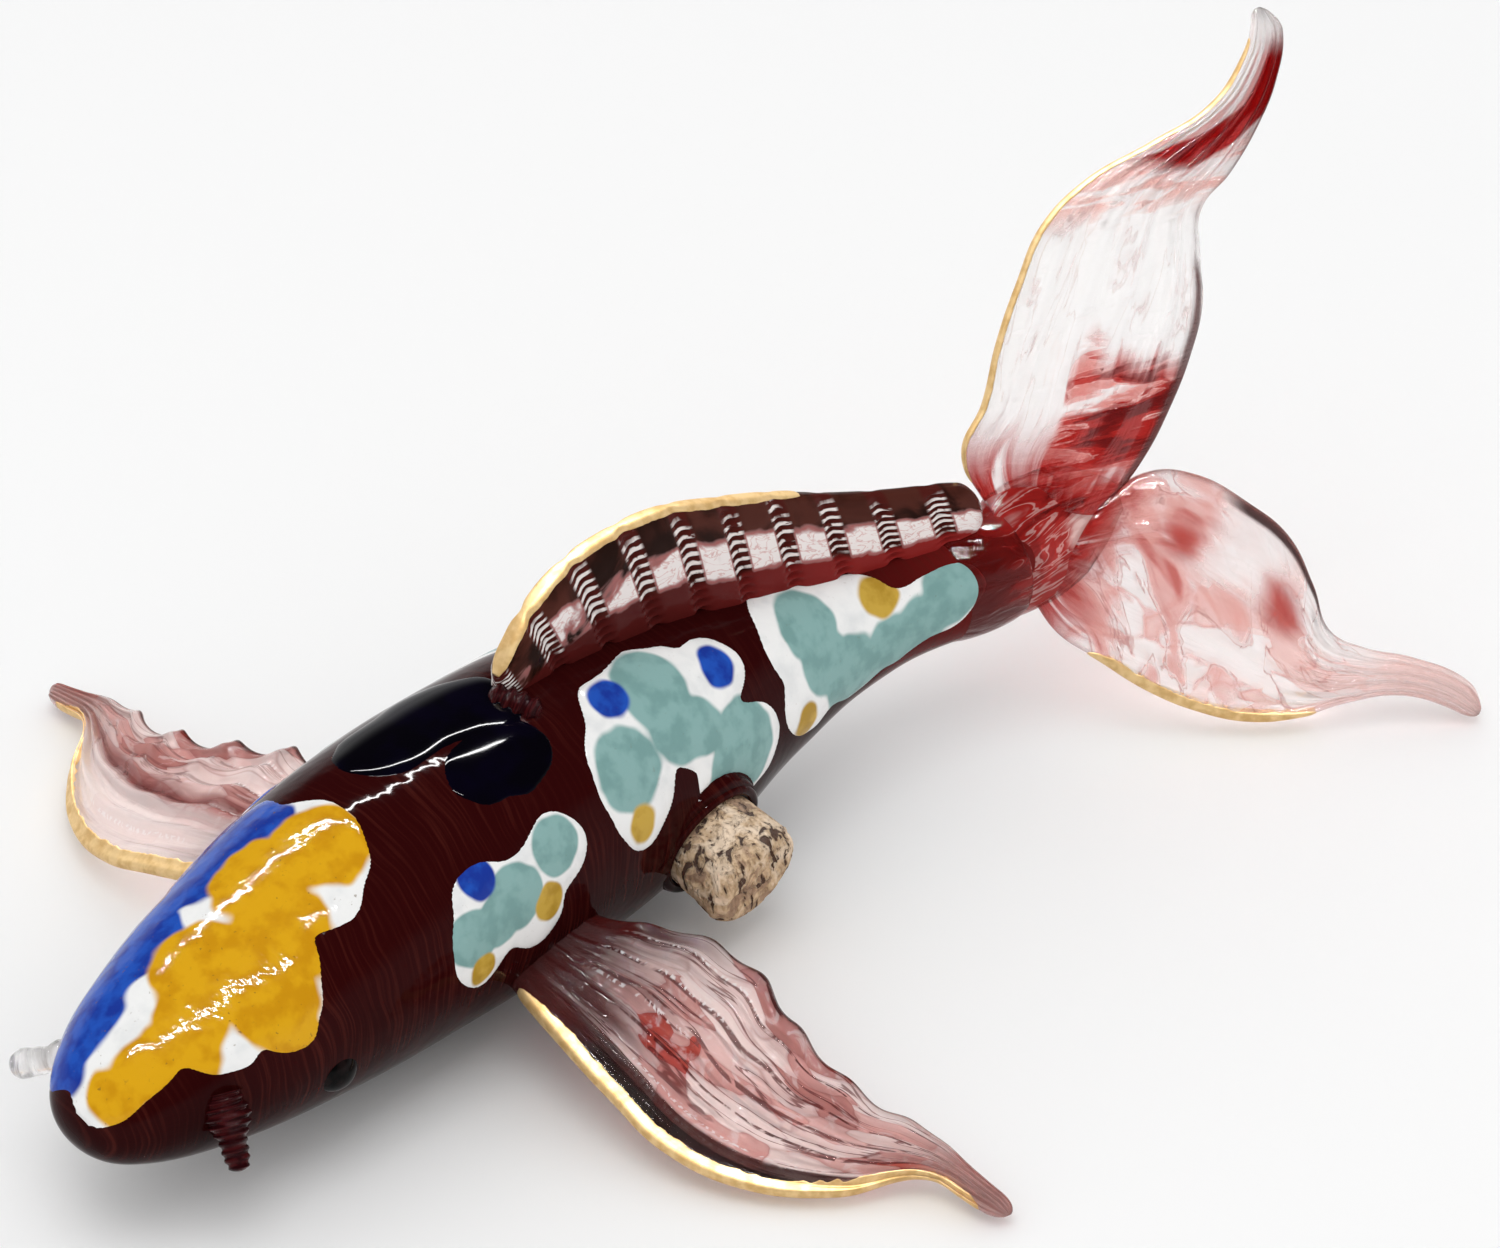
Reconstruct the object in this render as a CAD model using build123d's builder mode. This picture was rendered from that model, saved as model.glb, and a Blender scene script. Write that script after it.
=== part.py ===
"""Floating glass koi: a hollow blown fish with solid glass fins, fused colour patches and a cork."""
import os

from build123d import *

# Blown body, millimetres. The nose points to -Y, the fish's left side is +X, the belly rests on Z = 0.
BODY_LENGTH = 108.6
BODY_WIDTH = 25.6
BODY_HEIGHT = 27.8
BODY_BEND = 9.8
BODY_WALL = 1.8
NOSE_REACH = 69.8
BELLY_FLAT_DEPTH = 0.4
# Sections of the body from nose to tail: along, sideways, axis height, half width, half height,
# as shares of the length, the bend, the height, the width and the height.
BODY_SHARES = [
    (0.000, 0.22, 0.430, 0.047, 0.036),
    (0.009, 0.22, 0.430, 0.144, 0.100),
    (0.038, 0.20, 0.440, 0.250, 0.188),
    (0.102, 0.15, 0.453, 0.356, 0.287),
    (0.199, 0.09, 0.478, 0.443, 0.386),
    (0.328, 0.02, 0.503, 0.498, 0.472),
    (0.475, 0.00, 0.500, 0.492, 0.500),
    (0.613, 0.06, 0.511, 0.430, 0.446),
    (0.742, 0.20, 0.532, 0.320, 0.331),
    (0.853, 0.45, 0.572, 0.219, 0.230),
    (0.972, 0.88, 0.626, 0.168, 0.176),
    (1.000, 1.00, 0.640, 0.094, 0.101),
]
STEP_SHARE = 0.05
# The hollow stops short of the solid nose and of the solid tail stem.
FIRST_HOLLOW_ROW = 2
LAST_HOLLOW_ROW = 9

# Thin seams between fused pieces, and how far a root is sunk before it is trimmed to its seat.
BOND_GAP = 0.05
ROOT_SINK = 3.0
CUT_OVERRUN = 1.0

# Cork and its glass neck, low on the left flank.
CORK_ALONG_SHARE = 0.599
CORK_TURN_ANGLE = 110.0
CORK_DROOP_ANGLE = 15.0
CORK_DIAMETER = 10.2
CORK_LENGTH = 12.0
CORK_PROTRUSION = 6.2
CORK_TAPER = 1.4
CORK_EDGE = 0.5
CORK_CLEARANCE = 0.06
NECK_WALL = 1.0
NECK_RISE = 0.5
NECK_DEPTH = 4.2

# Side fins: they droop from the flanks until their drawn tips reach the floor.
FIN_ALONG_SHARE = 0.457
FIN_STAGGER = 5.5
FIN_REACH = 57.2
FIN_CHORD = 17.5
FIN_RISE = 9.8
FIN_THICKNESS = 2.3
# Gilded edge (out, back, up), trailing edge (out, back, up), thickness, from the root to the tip.
FIN_SHARES = [
    (0.15, -0.49, 0.88, 0.15, 0.01, 1.02, 1.35),
    (0.21, -0.55, 0.83, 0.22, 0.04, 1.00, 1.25),
    (0.33, -0.63, 0.70, 0.33, 0.27, 0.94, 1.10),
    (0.45, -0.67, 0.50, 0.45, 0.33, 0.84, 1.00),
    (0.55, -0.68, 0.33, 0.54, 0.25, 0.71, 0.95),
    (0.67, -0.56, 0.19, 0.64, 0.18, 0.59, 0.95),
    (0.78, -0.28, 0.15, 0.73, 0.20, 0.49, 0.95),
    (0.86, 0.07, 0.21, 0.84, 0.27, 0.42, 0.90),
    (0.92, 0.11, 0.18, 0.915, 0.26, 0.33, 0.80),
    (0.985, 0.13, 0.03, 0.995, 0.21, 0.14, 0.60),
]
FIN_GILT_ROWS = (1, 8)

# Dorsal fin along the back.
DORSAL_ALONG_SHARE = 0.466
DORSAL_LENGTH = 50.0
DORSAL_HEIGHT = 11.2
DORSAL_THICKNESS = 2.4
# Along and height above the back.
DORSAL_SHARES = [
    (0.00, 0.14),
    (0.03, 0.36),
    (0.09, 0.65),
    (0.17, 0.85),
    (0.26, 0.955),
    (0.375, 1.00),
    (0.515, 0.955),
    (0.655, 0.865),
    (0.79, 0.72),
    (0.91, 0.55),
    (1.00, 0.39),
]
DORSAL_GILT_ROWS = (0, 9)

# Tail fan: one flat plane, twisted so that the upper lobe stands up and the lower lobe sweeps left.
TAIL_ALONG_SHARE = 0.976
TAIL_FACING = (0.705, -0.585, 0.401)
TAIL_RUN = (0.549, 0.808, 0.213)
TAIL_LENGTH = 40.0
TAIL_UPPER_SPAN = 40.0
TAIL_LOWER_SPAN = 27.6
TAIL_THICKNESS = 2.0
# Gilded front edge (along, across), rear edge (along, across) and thickness, from the root to the tip.
TAIL_UPPER_SHARES = [
    (0.01, 0.125, 0.24, 0.025, 1.50),
    (-0.01, 0.265, 0.38, 0.125, 1.25),
    (0.065, 0.36, 0.48, 0.23, 1.10),
    (0.135, 0.485, 0.555, 0.33, 1.00),
    (0.215, 0.60, 0.61, 0.43, 1.00),
    (0.305, 0.71, 0.635, 0.54, 1.00),
    (0.43, 0.78, 0.665, 0.64, 1.00),
    (0.60, 0.82, 0.75, 0.70, 1.05),
    (0.745, 0.86, 0.84, 0.785, 1.05),
    (0.83, 0.925, 0.907, 0.872, 0.95),
    (0.88, 1.00, 0.95, 0.975, 0.85),
]
TAIL_LOWER_SHARES = [
    (0.05, -0.15, 0.25, 0.09, 1.50),
    (0.085, -0.29, 0.39, 0.14, 1.25),
    (0.16, -0.42, 0.49, 0.085, 1.10),
    (0.25, -0.57, 0.59, -0.06, 1.00),
    (0.35, -0.69, 0.66, -0.21, 1.00),
    (0.455, -0.775, 0.685, -0.395, 1.00),
    (0.57, -0.815, 0.695, -0.565, 1.00),
    (0.69, -0.82, 0.76, -0.655, 1.05),
    (0.81, -0.85, 0.865, -0.74, 1.05),
    (0.91, -0.94, 0.97, -0.865, 1.00),
    (0.965, -1.022, 1.00, -0.962, 0.80),
]
TAIL_UPPER_GILT_ROWS = (1, 8)
TAIL_LOWER_GILT_ROWS = (1, 7)

# Gather of red glass where the lobes leave the stem: along, across, half thickness, half width.
GATHER_LENGTH = 13.0
GATHER_WIDTH = 13.0
GATHER_COVER = 0.5
GATHER_GAP = 0.3
GATHER_STEM_SHARE = 0.935
GATHER_SHARES = [
    (0.05, 0.03, 0.40, 0.50),
    (0.42, 0.15, 0.30, 0.57),
    (0.75, 0.27, 0.19, 0.46),
    (1.00, 0.32, 0.09, 0.30),
]

# Gilding fired on the front edge of each fin.
GILT_THICKNESS = 0.2
GILT_WIDTH = 2.6

# Eyes and barbels: along, turn from the top towards the left, then the barbel's direction.
EYE_DIAMETER = 4.4
EYE_STAND = 0.8
EYE_ALONG_SHARE = 0.190
EYE_TURN_ANGLE = 104.0
BARBEL_DIAMETER = 4.0
BARBEL_LENGTH = 4.4
BARBEL_TIP_DIAMETER = 1.9
BARBEL_LEFT_ALONG_SHARE = 0.088
BARBEL_LEFT_TURN_ANGLE = 92.0
BARBEL_LEFT_RUN = (0.55, -0.25, -0.80)
BARBEL_RIGHT_ALONG_SHARE = 0.047
BARBEL_RIGHT_TURN_ANGLE = -88.0
BARBEL_RIGHT_RUN = (-0.78, -0.55, -0.30)

# Colour patches: thin glass fused on the body. Each one is a run of overlapping round drops, laid
# out on the plane that touches the body at its own place: along, up the flank, and both radii, as
# shares of the patch length. The depth is how far the drops reach round the body.
PATCH_THICKNESS = 0.35
HEAD_PATCH_LENGTH = 31.0
BACK_PATCH_LENGTH = 17.0
SPOT_PATCH_LENGTH = 11.0
CHEEK_PATCH_LENGTH = 17.0
FLANK_PATCH_LENGTH = 25.0
REAR_PATCH_LENGTH = 25.0
HEAD_PATCH_SHARES = [
    (0.26, -0.01, 0.19, 0.20),
    (-0.04, 0.02, 0.30, 0.24),
    (-0.01, -0.17, 0.17, 0.14),
    (-0.22, -0.17, 0.12, 0.11),
    (-0.38, -0.03, 0.15, 0.13),
    (0.23, 0.20, 0.20, 0.15),
    (-0.11, 0.18, 0.21, 0.14),
    (-0.38, 0.08, 0.14, 0.10),
]
BACK_PATCH_SHARES = [
    (-0.13, 0.08, 0.31, 0.25),
    (0.19, 0.00, 0.27, 0.24),
]
SPOT_PATCH_SHARES = [
    (-0.05, -0.02, 0.40, 0.28),
    (0.15, 0.01, 0.33, 0.24),
]
CHEEK_PATCH_SHARES = [
    (0.31, 0.07, 0.20, 0.20),
    (-0.28, -0.13, 0.19, 0.23),
    (-0.19, 0.11, 0.18, 0.15),
    (0.02, -0.04, 0.25, 0.22),
    (0.12, -0.19, 0.16, 0.15),
]
FLANK_PATCH_SHARES = [
    (-0.05, 0.15, 0.22, 0.17),
    (-0.30, -0.01, 0.18, 0.21),
    (-0.31, -0.16, 0.12, 0.11),
    (-0.26, 0.17, 0.12, 0.13),
    (0.21, 0.10, 0.14, 0.14),
    (0.06, -0.02, 0.17, 0.13),
    (0.25, -0.17, 0.20, 0.17),
]
REAR_PATCH_SHARES = [
    (-0.22, 0.05, 0.20, 0.16),
    (-0.28, -0.10, 0.14, 0.12),
    (-0.02, -0.04, 0.18, 0.15),
    (0.20, -0.05, 0.18, 0.12),
    (0.40, -0.05, 0.14, 0.10),
]
# Node, length, drops, along share, turn from the top, depth as a share of the local half width.
PATCH_PLACE_SHARES = [
    ("head_patch", HEAD_PATCH_LENGTH, HEAD_PATCH_SHARES, 0.156, 0.0, 0.95),
    ("back_patch", BACK_PATCH_LENGTH, BACK_PATCH_SHARES, 0.385, 0.0, 0.60),
    ("back_spot", SPOT_PATCH_LENGTH, SPOT_PATCH_SHARES, 0.413, 33.0, 0.60),
    ("cheek_patch_left", CHEEK_PATCH_LENGTH, CHEEK_PATCH_SHARES, 0.374, 72.0, 0.60),
    ("flank_patch_left", FLANK_PATCH_LENGTH, FLANK_PATCH_SHARES, 0.590, 55.0, 0.70),
    ("rear_patch_left", REAR_PATCH_LENGTH, REAR_PATCH_SHARES, 0.797, 58.0, 0.70),
    ("cheek_patch_right", CHEEK_PATCH_LENGTH, CHEEK_PATCH_SHARES, 0.330, -64.0, 0.60),
    ("flank_patch_right", FLANK_PATCH_LENGTH, FLANK_PATCH_SHARES, 0.570, -58.0, 0.70),
    ("rear_patch_right", REAR_PATCH_LENGTH, REAR_PATCH_SHARES, 0.797, -62.0, 0.70),
]


def body_row(share):
    """Axis point, half width and half height of the body at a share of its length."""
    before = max(row for row in BODY_SHARES[:-1] if row[0] <= share)
    after = BODY_SHARES[BODY_SHARES.index(before) + 1]
    blend = (share - before[0]) / (after[0] - before[0])
    along, side, rise, wide, high = [a + (b - a) * blend for a, b in zip(before, after)]
    axis_point = Vector(
        side * BODY_BEND,
        along * BODY_LENGTH - NOSE_REACH,
        rise * BODY_HEIGHT - BELLY_FLAT_DEPTH,
    )
    return axis_point, wide * BODY_WIDTH, high * BODY_HEIGHT


def turned(turn):
    """Unit direction in a cross section, turned from the top towards the fish's left."""
    return Vector(0, 0, 1).rotate(Axis.Y, turn)


def skin_point(share, turn):
    """Point of the body's surface at a share of its length, turned round from the top."""
    axis_point, half_width, half_height = body_row(share)
    direction = turned(turn)
    return axis_point + Vector(direction.X * half_width, 0, direction.Z * half_height)


def skin_plane(share, turn):
    """Plane that touches the body there: X back along the fish, Z outwards."""
    here = skin_point(share, turn)
    back = skin_point(share + STEP_SHARE, turn) - skin_point(share - STEP_SHARE, turn)
    outward = turned(turn)
    return Plane(here, x_dir=back, z_dir=outward - back * (outward.dot(back) / back.dot(back)))


def body_form(growth, rows=BODY_SHARES):
    """The body's outer form, made larger or smaller all round by the growth."""
    end_growth = {rows[0]: -growth, rows[-1]: growth}
    with BuildPart() as form:
        for row in rows:
            axis_point, half_width, half_height = body_row(row[0])
            centre = axis_point + Vector(0, end_growth.get(row, 0), 0)
            with BuildSketch(Plane(centre, x_dir=(1, 0, 0), z_dir=(0, -1, 0))):
                Ellipse(half_width + growth, half_height + growth)
        loft()
    return form.part


def blade_planes(rows):
    """Section planes of a fin: X runs from its gilded edge to its other edge, Z along the fin."""
    middles = [(edge + rear) / 2 for edge, rear, thickness in rows]
    planes = []
    for index, (edge, rear, thickness) in enumerate(rows):
        across = (rear - edge).normalized()
        run = middles[min(index + 1, len(rows) - 1)] - middles[max(index - 1, 0)]
        planes.append(Plane(middles[index], x_dir=across, z_dir=run - across * run.dot(across)))
    return planes


def blade(rows, growth=0):
    """A fin lofted through sections with round edges."""
    with BuildPart() as fin:
        for plane, (edge, rear, thickness) in zip(blade_planes(rows), rows):
            with BuildSketch(plane):
                SlotOverall((rear - edge).length + 2 * growth, thickness + 2 * growth)
        loft()
    return fin.part


def trimmed(form, *cutters):
    """A form cut back to the seats that carry it, keeping its main solid."""
    with BuildPart() as piece:
        add(form)
        for cutter in cutters:
            add(cutter, mode=Mode.SUBTRACT)
    return piece.solids().sort_by(SortBy.VOLUME)[-1]


def gilding(rows, gilt_rows, *cutters):
    """A thin skin wrapped round the front edge of a fin, between two of its rows."""
    first, last = gilt_rows
    with BuildPart() as gilt:
        for plane, (edge, rear, thickness) in list(zip(blade_planes(rows), rows))[first:last + 1]:
            width = GILT_WIDTH + thickness / 2
            with BuildSketch(plane):
                with Locations(((width - (rear - edge).length) / 2 - GILT_THICKNESS, 0)):
                    SlotOverall(width, thickness + 2 * GILT_THICKNESS)
        loft()
    return trimmed(gilt.part, *cutters)


outer_form = body_form(0)
body_seat = body_form(BOND_GAP)
hollow_form = body_form(-BODY_WALL, BODY_SHARES[FIRST_HOLLOW_ROW:LAST_HOLLOW_ROW + 1])
pieces = {}

# The neck plane touches the body where the cork sits, with Z along the cork, outwards.
neck_plane = Plane(
    skin_point(CORK_ALONG_SHARE, CORK_TURN_ANGLE), x_dir=(0, 1, 0), z_dir=turned(90 + CORK_DROOP_ANGLE)
)


def cork_radius(height):
    """Radius of the tapered cork at a height above the neck plane."""
    return CORK_DIAMETER / 2 - (CORK_PROTRUSION - height) / CORK_LENGTH * CORK_TAPER / 2


neck_radius = cork_radius(NECK_RISE) + CORK_CLEARANCE + NECK_WALL

# Body: a blown shell with a short tapered neck, ground flat under the belly.
with BuildPart() as body_shell:
    add(outer_form)
    add(hollow_form, mode=Mode.SUBTRACT)
    with BuildSketch(neck_plane.offset(-NECK_DEPTH)):
        Circle(neck_radius)
    extrude(amount=NECK_DEPTH + NECK_RISE)
    for height in (-NECK_DEPTH - CUT_OVERRUN, NECK_RISE + CUT_OVERRUN):
        with BuildSketch(neck_plane.offset(height)):
            Circle(cork_radius(height) + CORK_CLEARANCE)
    loft(mode=Mode.SUBTRACT)
    split(bisect_by=Plane.XY, keep=Keep.TOP)
pieces["body_shell"] = body_shell.part

# Cork: a tapered stopper with a broken outer edge.
with BuildPart() as cork_stopper:
    for height in (CORK_PROTRUSION - CORK_LENGTH, CORK_PROTRUSION):
        with BuildSketch(neck_plane.offset(height)):
            Circle(cork_radius(height))
    loft()
    chamfer(cork_stopper.edges().filter_by(GeomType.CIRCLE), CORK_EDGE)
pieces["cork_stopper"] = cork_stopper.part

# Tail plane: X runs on from the stem, Y up the upper lobe.
tail_plane = Plane(body_row(TAIL_ALONG_SHARE)[0], x_dir=TAIL_RUN, z_dir=TAIL_FACING)

# Gather: red glass wrapped round the end of the stem, flattening into the fan.
stem_point, stem_half_width, stem_half_height = body_row(GATHER_STEM_SHARE)
with BuildPart() as gather:
    with BuildSketch(Plane(stem_point, x_dir=(0, 0, 1), z_dir=(0, 1, 0))):
        Ellipse(stem_half_height + GATHER_COVER, stem_half_width + GATHER_COVER)
    for along, across, thick, wide in GATHER_SHARES:
        centre = tail_plane.from_local_coords((along * GATHER_LENGTH, across * GATHER_WIDTH, 0))
        with BuildSketch(Plane(centre, x_dir=tail_plane.y_dir, z_dir=tail_plane.x_dir)):
            Ellipse(wide * GATHER_WIDTH, thick * GATHER_WIDTH)
    loft()
gather_form = gather.part
pieces["tail_gather"] = trimmed(gather_form, body_form(GATHER_GAP))


def tail_rows(shares, span):
    """Edge points and thickness of a tail lobe, laid out on the tail plane."""
    rows = []
    for edge_along, edge_across, rear_along, rear_across, thick in shares:
        edge = tail_plane.from_local_coords((edge_along * TAIL_LENGTH, edge_across * span, 0))
        rear = tail_plane.from_local_coords((rear_along * TAIL_LENGTH, rear_across * span, 0))
        rows.append((Vector(edge), Vector(rear), thick * TAIL_THICKNESS))
    return rows


# Tail lobes: the lower one is trimmed where the upper one crosses it at the fork.
upper_rows = tail_rows(TAIL_UPPER_SHARES, TAIL_UPPER_SPAN)
lower_rows = tail_rows(TAIL_LOWER_SHARES, TAIL_LOWER_SPAN)
upper_form = blade(upper_rows)
lower_form = blade(lower_rows)
pieces["tail_lobe_upper"] = trimmed(upper_form, gather_form, body_seat)
pieces["tail_lobe_lower"] = trimmed(lower_form, gather_form, body_seat, blade(upper_rows, BOND_GAP))
pieces["tail_gilding_upper"] = gilding(
    upper_rows, TAIL_UPPER_GILT_ROWS, upper_form, lower_form, gather_form, body_seat
)
pieces["tail_gilding_lower"] = gilding(
    lower_rows, TAIL_LOWER_GILT_ROWS, lower_form, upper_form, gather_form, body_seat
)

# Dorsal fin: it stands on the back line and follows the bend of the body.
dorsal_rows = []
for along, high in DORSAL_SHARES:
    share = DORSAL_ALONG_SHARE + along * DORSAL_LENGTH / BODY_LENGTH
    back = skin_point(share, 0)
    dorsal_rows.append(
        (
            back + Vector(0, 0, high * DORSAL_HEIGHT),
            back - Vector(0, 0, ROOT_SINK),
            DORSAL_THICKNESS,
        )
    )
dorsal_form = blade(dorsal_rows)
pieces["dorsal_fin"] = trimmed(dorsal_form, body_seat, gather_form, upper_form)
pieces["dorsal_gilding"] = gilding(
    dorsal_rows, DORSAL_GILT_ROWS, dorsal_form, body_seat, gather_form, upper_form
)


def side_fin_rows(side, stagger):
    """Edge points and thickness of a side fin, side +1 for the left one and -1 for the right one."""
    start = FIN_ALONG_SHARE * BODY_LENGTH - NOSE_REACH - stagger
    rows = []
    for edge_out, edge_back, edge_up, rear_out, rear_back, rear_up, thick in FIN_SHARES:
        edge = Vector(
            side * edge_out * FIN_REACH, start + edge_back * FIN_CHORD, edge_up * FIN_RISE
        )
        rear = Vector(
            side * rear_out * FIN_REACH, start + rear_back * FIN_CHORD, rear_up * FIN_RISE
        )
        rows.append((edge, rear, thick * FIN_THICKNESS))
    return rows


# Side fins: a pair, the right one set a little further forward.
for name, side, stagger in (("left", 1, 0), ("right", -1, FIN_STAGGER)):
    fin_rows = side_fin_rows(side, stagger)
    fin_form = blade(fin_rows)
    pieces[f"pectoral_fin_{name}"] = trimmed(fin_form, body_seat)
    pieces[f"pectoral_gilding_{name}"] = gilding(fin_rows, FIN_GILT_ROWS, fin_form, body_seat)

# Eyes: glass beads sunk into the cheeks.
for name, side in (("left", 1), ("right", -1)):
    seat = skin_point(EYE_ALONG_SHARE, side * EYE_TURN_ANGLE)
    outward = turned(side * EYE_TURN_ANGLE)
    with BuildPart() as eye:
        with Locations(seat + outward * (EYE_STAND - EYE_DIAMETER / 2)):
            Sphere(EYE_DIAMETER / 2)
        add(body_seat, mode=Mode.SUBTRACT)
    pieces[f"eye_{name}"] = eye.part

# Barbels: stubby tapered feelers beside the mouth.
for name, share, turn, run in (
    ("left", BARBEL_LEFT_ALONG_SHARE, BARBEL_LEFT_TURN_ANGLE, BARBEL_LEFT_RUN),
    ("right", BARBEL_RIGHT_ALONG_SHARE, BARBEL_RIGHT_TURN_ANGLE, BARBEL_RIGHT_RUN),
):
    barbel_plane = Plane(skin_point(share, turn), z_dir=run)
    with BuildPart() as barbel:
        with BuildSketch(barbel_plane.offset(-BARBEL_DIAMETER / 2)):
            Circle(BARBEL_DIAMETER / 2)
        with BuildSketch(barbel_plane.offset(BARBEL_LENGTH)):
            Circle(BARBEL_TIP_DIAMETER / 2)
        loft()
        tip_edge = barbel.edges().filter_by(GeomType.CIRCLE).sort_by(SortBy.LENGTH)[0]
        fillet(tip_edge, BARBEL_TIP_DIAMETER / 4)
        add(body_seat, mode=Mode.SUBTRACT)
    pieces[f"barbel_{name}"] = barbel.part

# Colour patches: drops laid on the body's skin, clear of the neck.
with BuildPart() as skin:
    add(body_form(BOND_GAP + PATCH_THICKNESS))
    add(body_seat, mode=Mode.SUBTRACT)
with BuildPart() as neck_room:
    with BuildSketch(neck_plane.offset(-NECK_DEPTH)):
        Circle(neck_radius + PATCH_THICKNESS)
    extrude(amount=NECK_DEPTH + NECK_RISE)
for name, length, drops, share, turn, depth_share in PATCH_PLACE_SHARES:
    side = 1 if turn >= 0 else -1
    with BuildPart() as patch:
        with BuildSketch(skin_plane(share, turn)):
            for along, up, half_long, half_high in drops:
                with Locations((along * length, side * up * length)):
                    Ellipse(half_long * length, half_high * length)
        extrude(amount=depth_share * body_row(share)[1], both=True)
        add(skin.part, mode=Mode.INTERSECT)
        add(neck_room.part, mode=Mode.SUBTRACT)
    pieces[name] = patch.solids().sort_by(SortBy.VOLUME)[-1]

os.makedirs("parts", exist_ok=True)
for name, piece in pieces.items():
    piece.label = name
    export_step(piece, f"parts/{name}.step")
    print(f"{name}: {piece.volume:.0f} mm3, {len(piece.solids())} solid")
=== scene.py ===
# %% [markdown]
# # A hollow glass koi with a cork in its flank
#
# The real fish is blown and pressed at a lamp: a dark red hollow body, colour patches fused on its
# skin, five glass fins with gilded edges, and a cork that closes the hole it was blown through.
# This file dresses the CAD solids. Each visible piece is built in metres in the CAD frame (nose
# towards -Y, the fish's left towards +X, up is +Z) and rides on the CAD body that it belongs to.

# %% Load the frame
import math

import bmesh
import bpy
import numpy as np
from mathutils import Matrix, Vector, noise


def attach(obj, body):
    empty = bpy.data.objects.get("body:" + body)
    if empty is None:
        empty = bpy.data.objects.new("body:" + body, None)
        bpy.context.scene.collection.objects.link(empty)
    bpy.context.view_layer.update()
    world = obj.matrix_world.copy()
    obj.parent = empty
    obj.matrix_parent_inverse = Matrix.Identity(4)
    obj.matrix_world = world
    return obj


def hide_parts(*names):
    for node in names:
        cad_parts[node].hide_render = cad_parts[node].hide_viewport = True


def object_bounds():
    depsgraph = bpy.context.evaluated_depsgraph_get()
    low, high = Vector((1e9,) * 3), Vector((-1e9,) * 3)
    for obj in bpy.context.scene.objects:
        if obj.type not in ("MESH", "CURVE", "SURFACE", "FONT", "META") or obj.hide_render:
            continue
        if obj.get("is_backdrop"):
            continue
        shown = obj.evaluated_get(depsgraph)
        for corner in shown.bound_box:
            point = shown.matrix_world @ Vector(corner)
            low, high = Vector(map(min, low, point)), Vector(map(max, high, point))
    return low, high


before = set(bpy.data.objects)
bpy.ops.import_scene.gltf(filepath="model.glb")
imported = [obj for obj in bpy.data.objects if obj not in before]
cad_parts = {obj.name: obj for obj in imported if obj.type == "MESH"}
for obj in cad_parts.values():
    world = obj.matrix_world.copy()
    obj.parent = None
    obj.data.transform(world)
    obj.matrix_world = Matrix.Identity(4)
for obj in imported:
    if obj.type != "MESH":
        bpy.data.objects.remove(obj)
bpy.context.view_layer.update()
MM = 0.001
FULL_TURN = 2 * math.pi

# %% [markdown]
# ## Wires and boards
#
# Materials and Geometry Nodes are both node trees, and both are long to write node by node. A
# Wire holds one socket, and ordinary Python arithmetic on it adds the Math or Vector Math node.
# A Board holds the tree, and its node method adds any other node from a type, its settings and
# the values or wires of its sockets.

# %% Wire


def pick(sockets, key):
    """A socket by its number or by its name, among those in use."""
    if isinstance(key, int):
        return sockets[key]
    return next(s for s in sockets if s.enabled and key in (s.name, s.identifier))


class Wire:
    """One socket of a node tree, on which arithmetic adds nodes."""

    def __init__(self, board, socket):
        self.board = board
        self.socket = socket

    def __getitem__(self, name):
        return Wire(self.board, pick(self.socket.node.outputs, name))

    def number(self, operation, *others):
        """A Math node on this wire and any further values."""
        return self.board.maths("ShaderNodeMath", operation, self, *others)

    def vector(self, operation, *others):
        """A Vector Math node on this wire and any further values."""
        return self.board.maths("ShaderNodeVectorMath", operation, self, *others)

    def pair(self, operation, first, second):
        """Arithmetic on two values, of which either may be a vector."""
        vectors = [v for v in (first, second) if isinstance(v, Wire) and v.socket.type == "VECTOR"]
        if not vectors:
            return self.board.maths("ShaderNodeMath", operation, first, second)
        if operation == "MULTIPLY" and len(vectors) == 1:
            inputs = {"Vector": vectors[0], "Scale": second if vectors[0] is first else first}
            return self.board.node("ShaderNodeVectorMath", {"operation": "SCALE"}, inputs)
        return self.board.maths("ShaderNodeVectorMath", operation, first, second)

    def __add__(self, other):
        return self.pair("ADD", self, other)

    def __radd__(self, other):
        return self.pair("ADD", other, self)

    def __sub__(self, other):
        return self.pair("SUBTRACT", self, other)

    def __rsub__(self, other):
        return self.pair("SUBTRACT", other, self)

    def __mul__(self, other):
        return self.pair("MULTIPLY", self, other)

    def __rmul__(self, other):
        return self.pair("MULTIPLY", other, self)

    def __truediv__(self, other):
        return self.number("DIVIDE", other)

    def __pow__(self, other):
        return self.number("POWER", other)

    def __abs__(self):
        return self.number("ABSOLUTE")

    def cos(self):
        return self.number("COSINE")

    def sin(self):
        return self.number("SINE")

    def at_least(self, low):
        return self.number("MAXIMUM", low)

    def at_most(self, high):
        return self.number("MINIMUM", high)

    def ramp(self, low, high):
        """0 below low, 1 above high, and a smooth rise between them."""
        return self.board.node(
            "ShaderNodeMapRange",
            {"interpolation_type": "SMOOTHSTEP"},
            {"Value": self, "From Min": low, "From Max": high},
        )

    def window(self, start, end, soft):
        """1 between two values, with soft ends."""
        return self.ramp(start - soft, start + soft) * (1 - self.ramp(end - soft, end + soft))


# %% Board


def fill_curve(mapping, points):
    """Lay a Float Curve through a list of points."""
    curve = mapping.curves[0]
    for x, y in points[1:-1]:
        curve.points.new(x, y)
    for spot, (x, y) in zip((curve.points[0], curve.points[-1]), (points[0], points[-1])):
        spot.location = (x, y)
    mapping.update()


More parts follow.
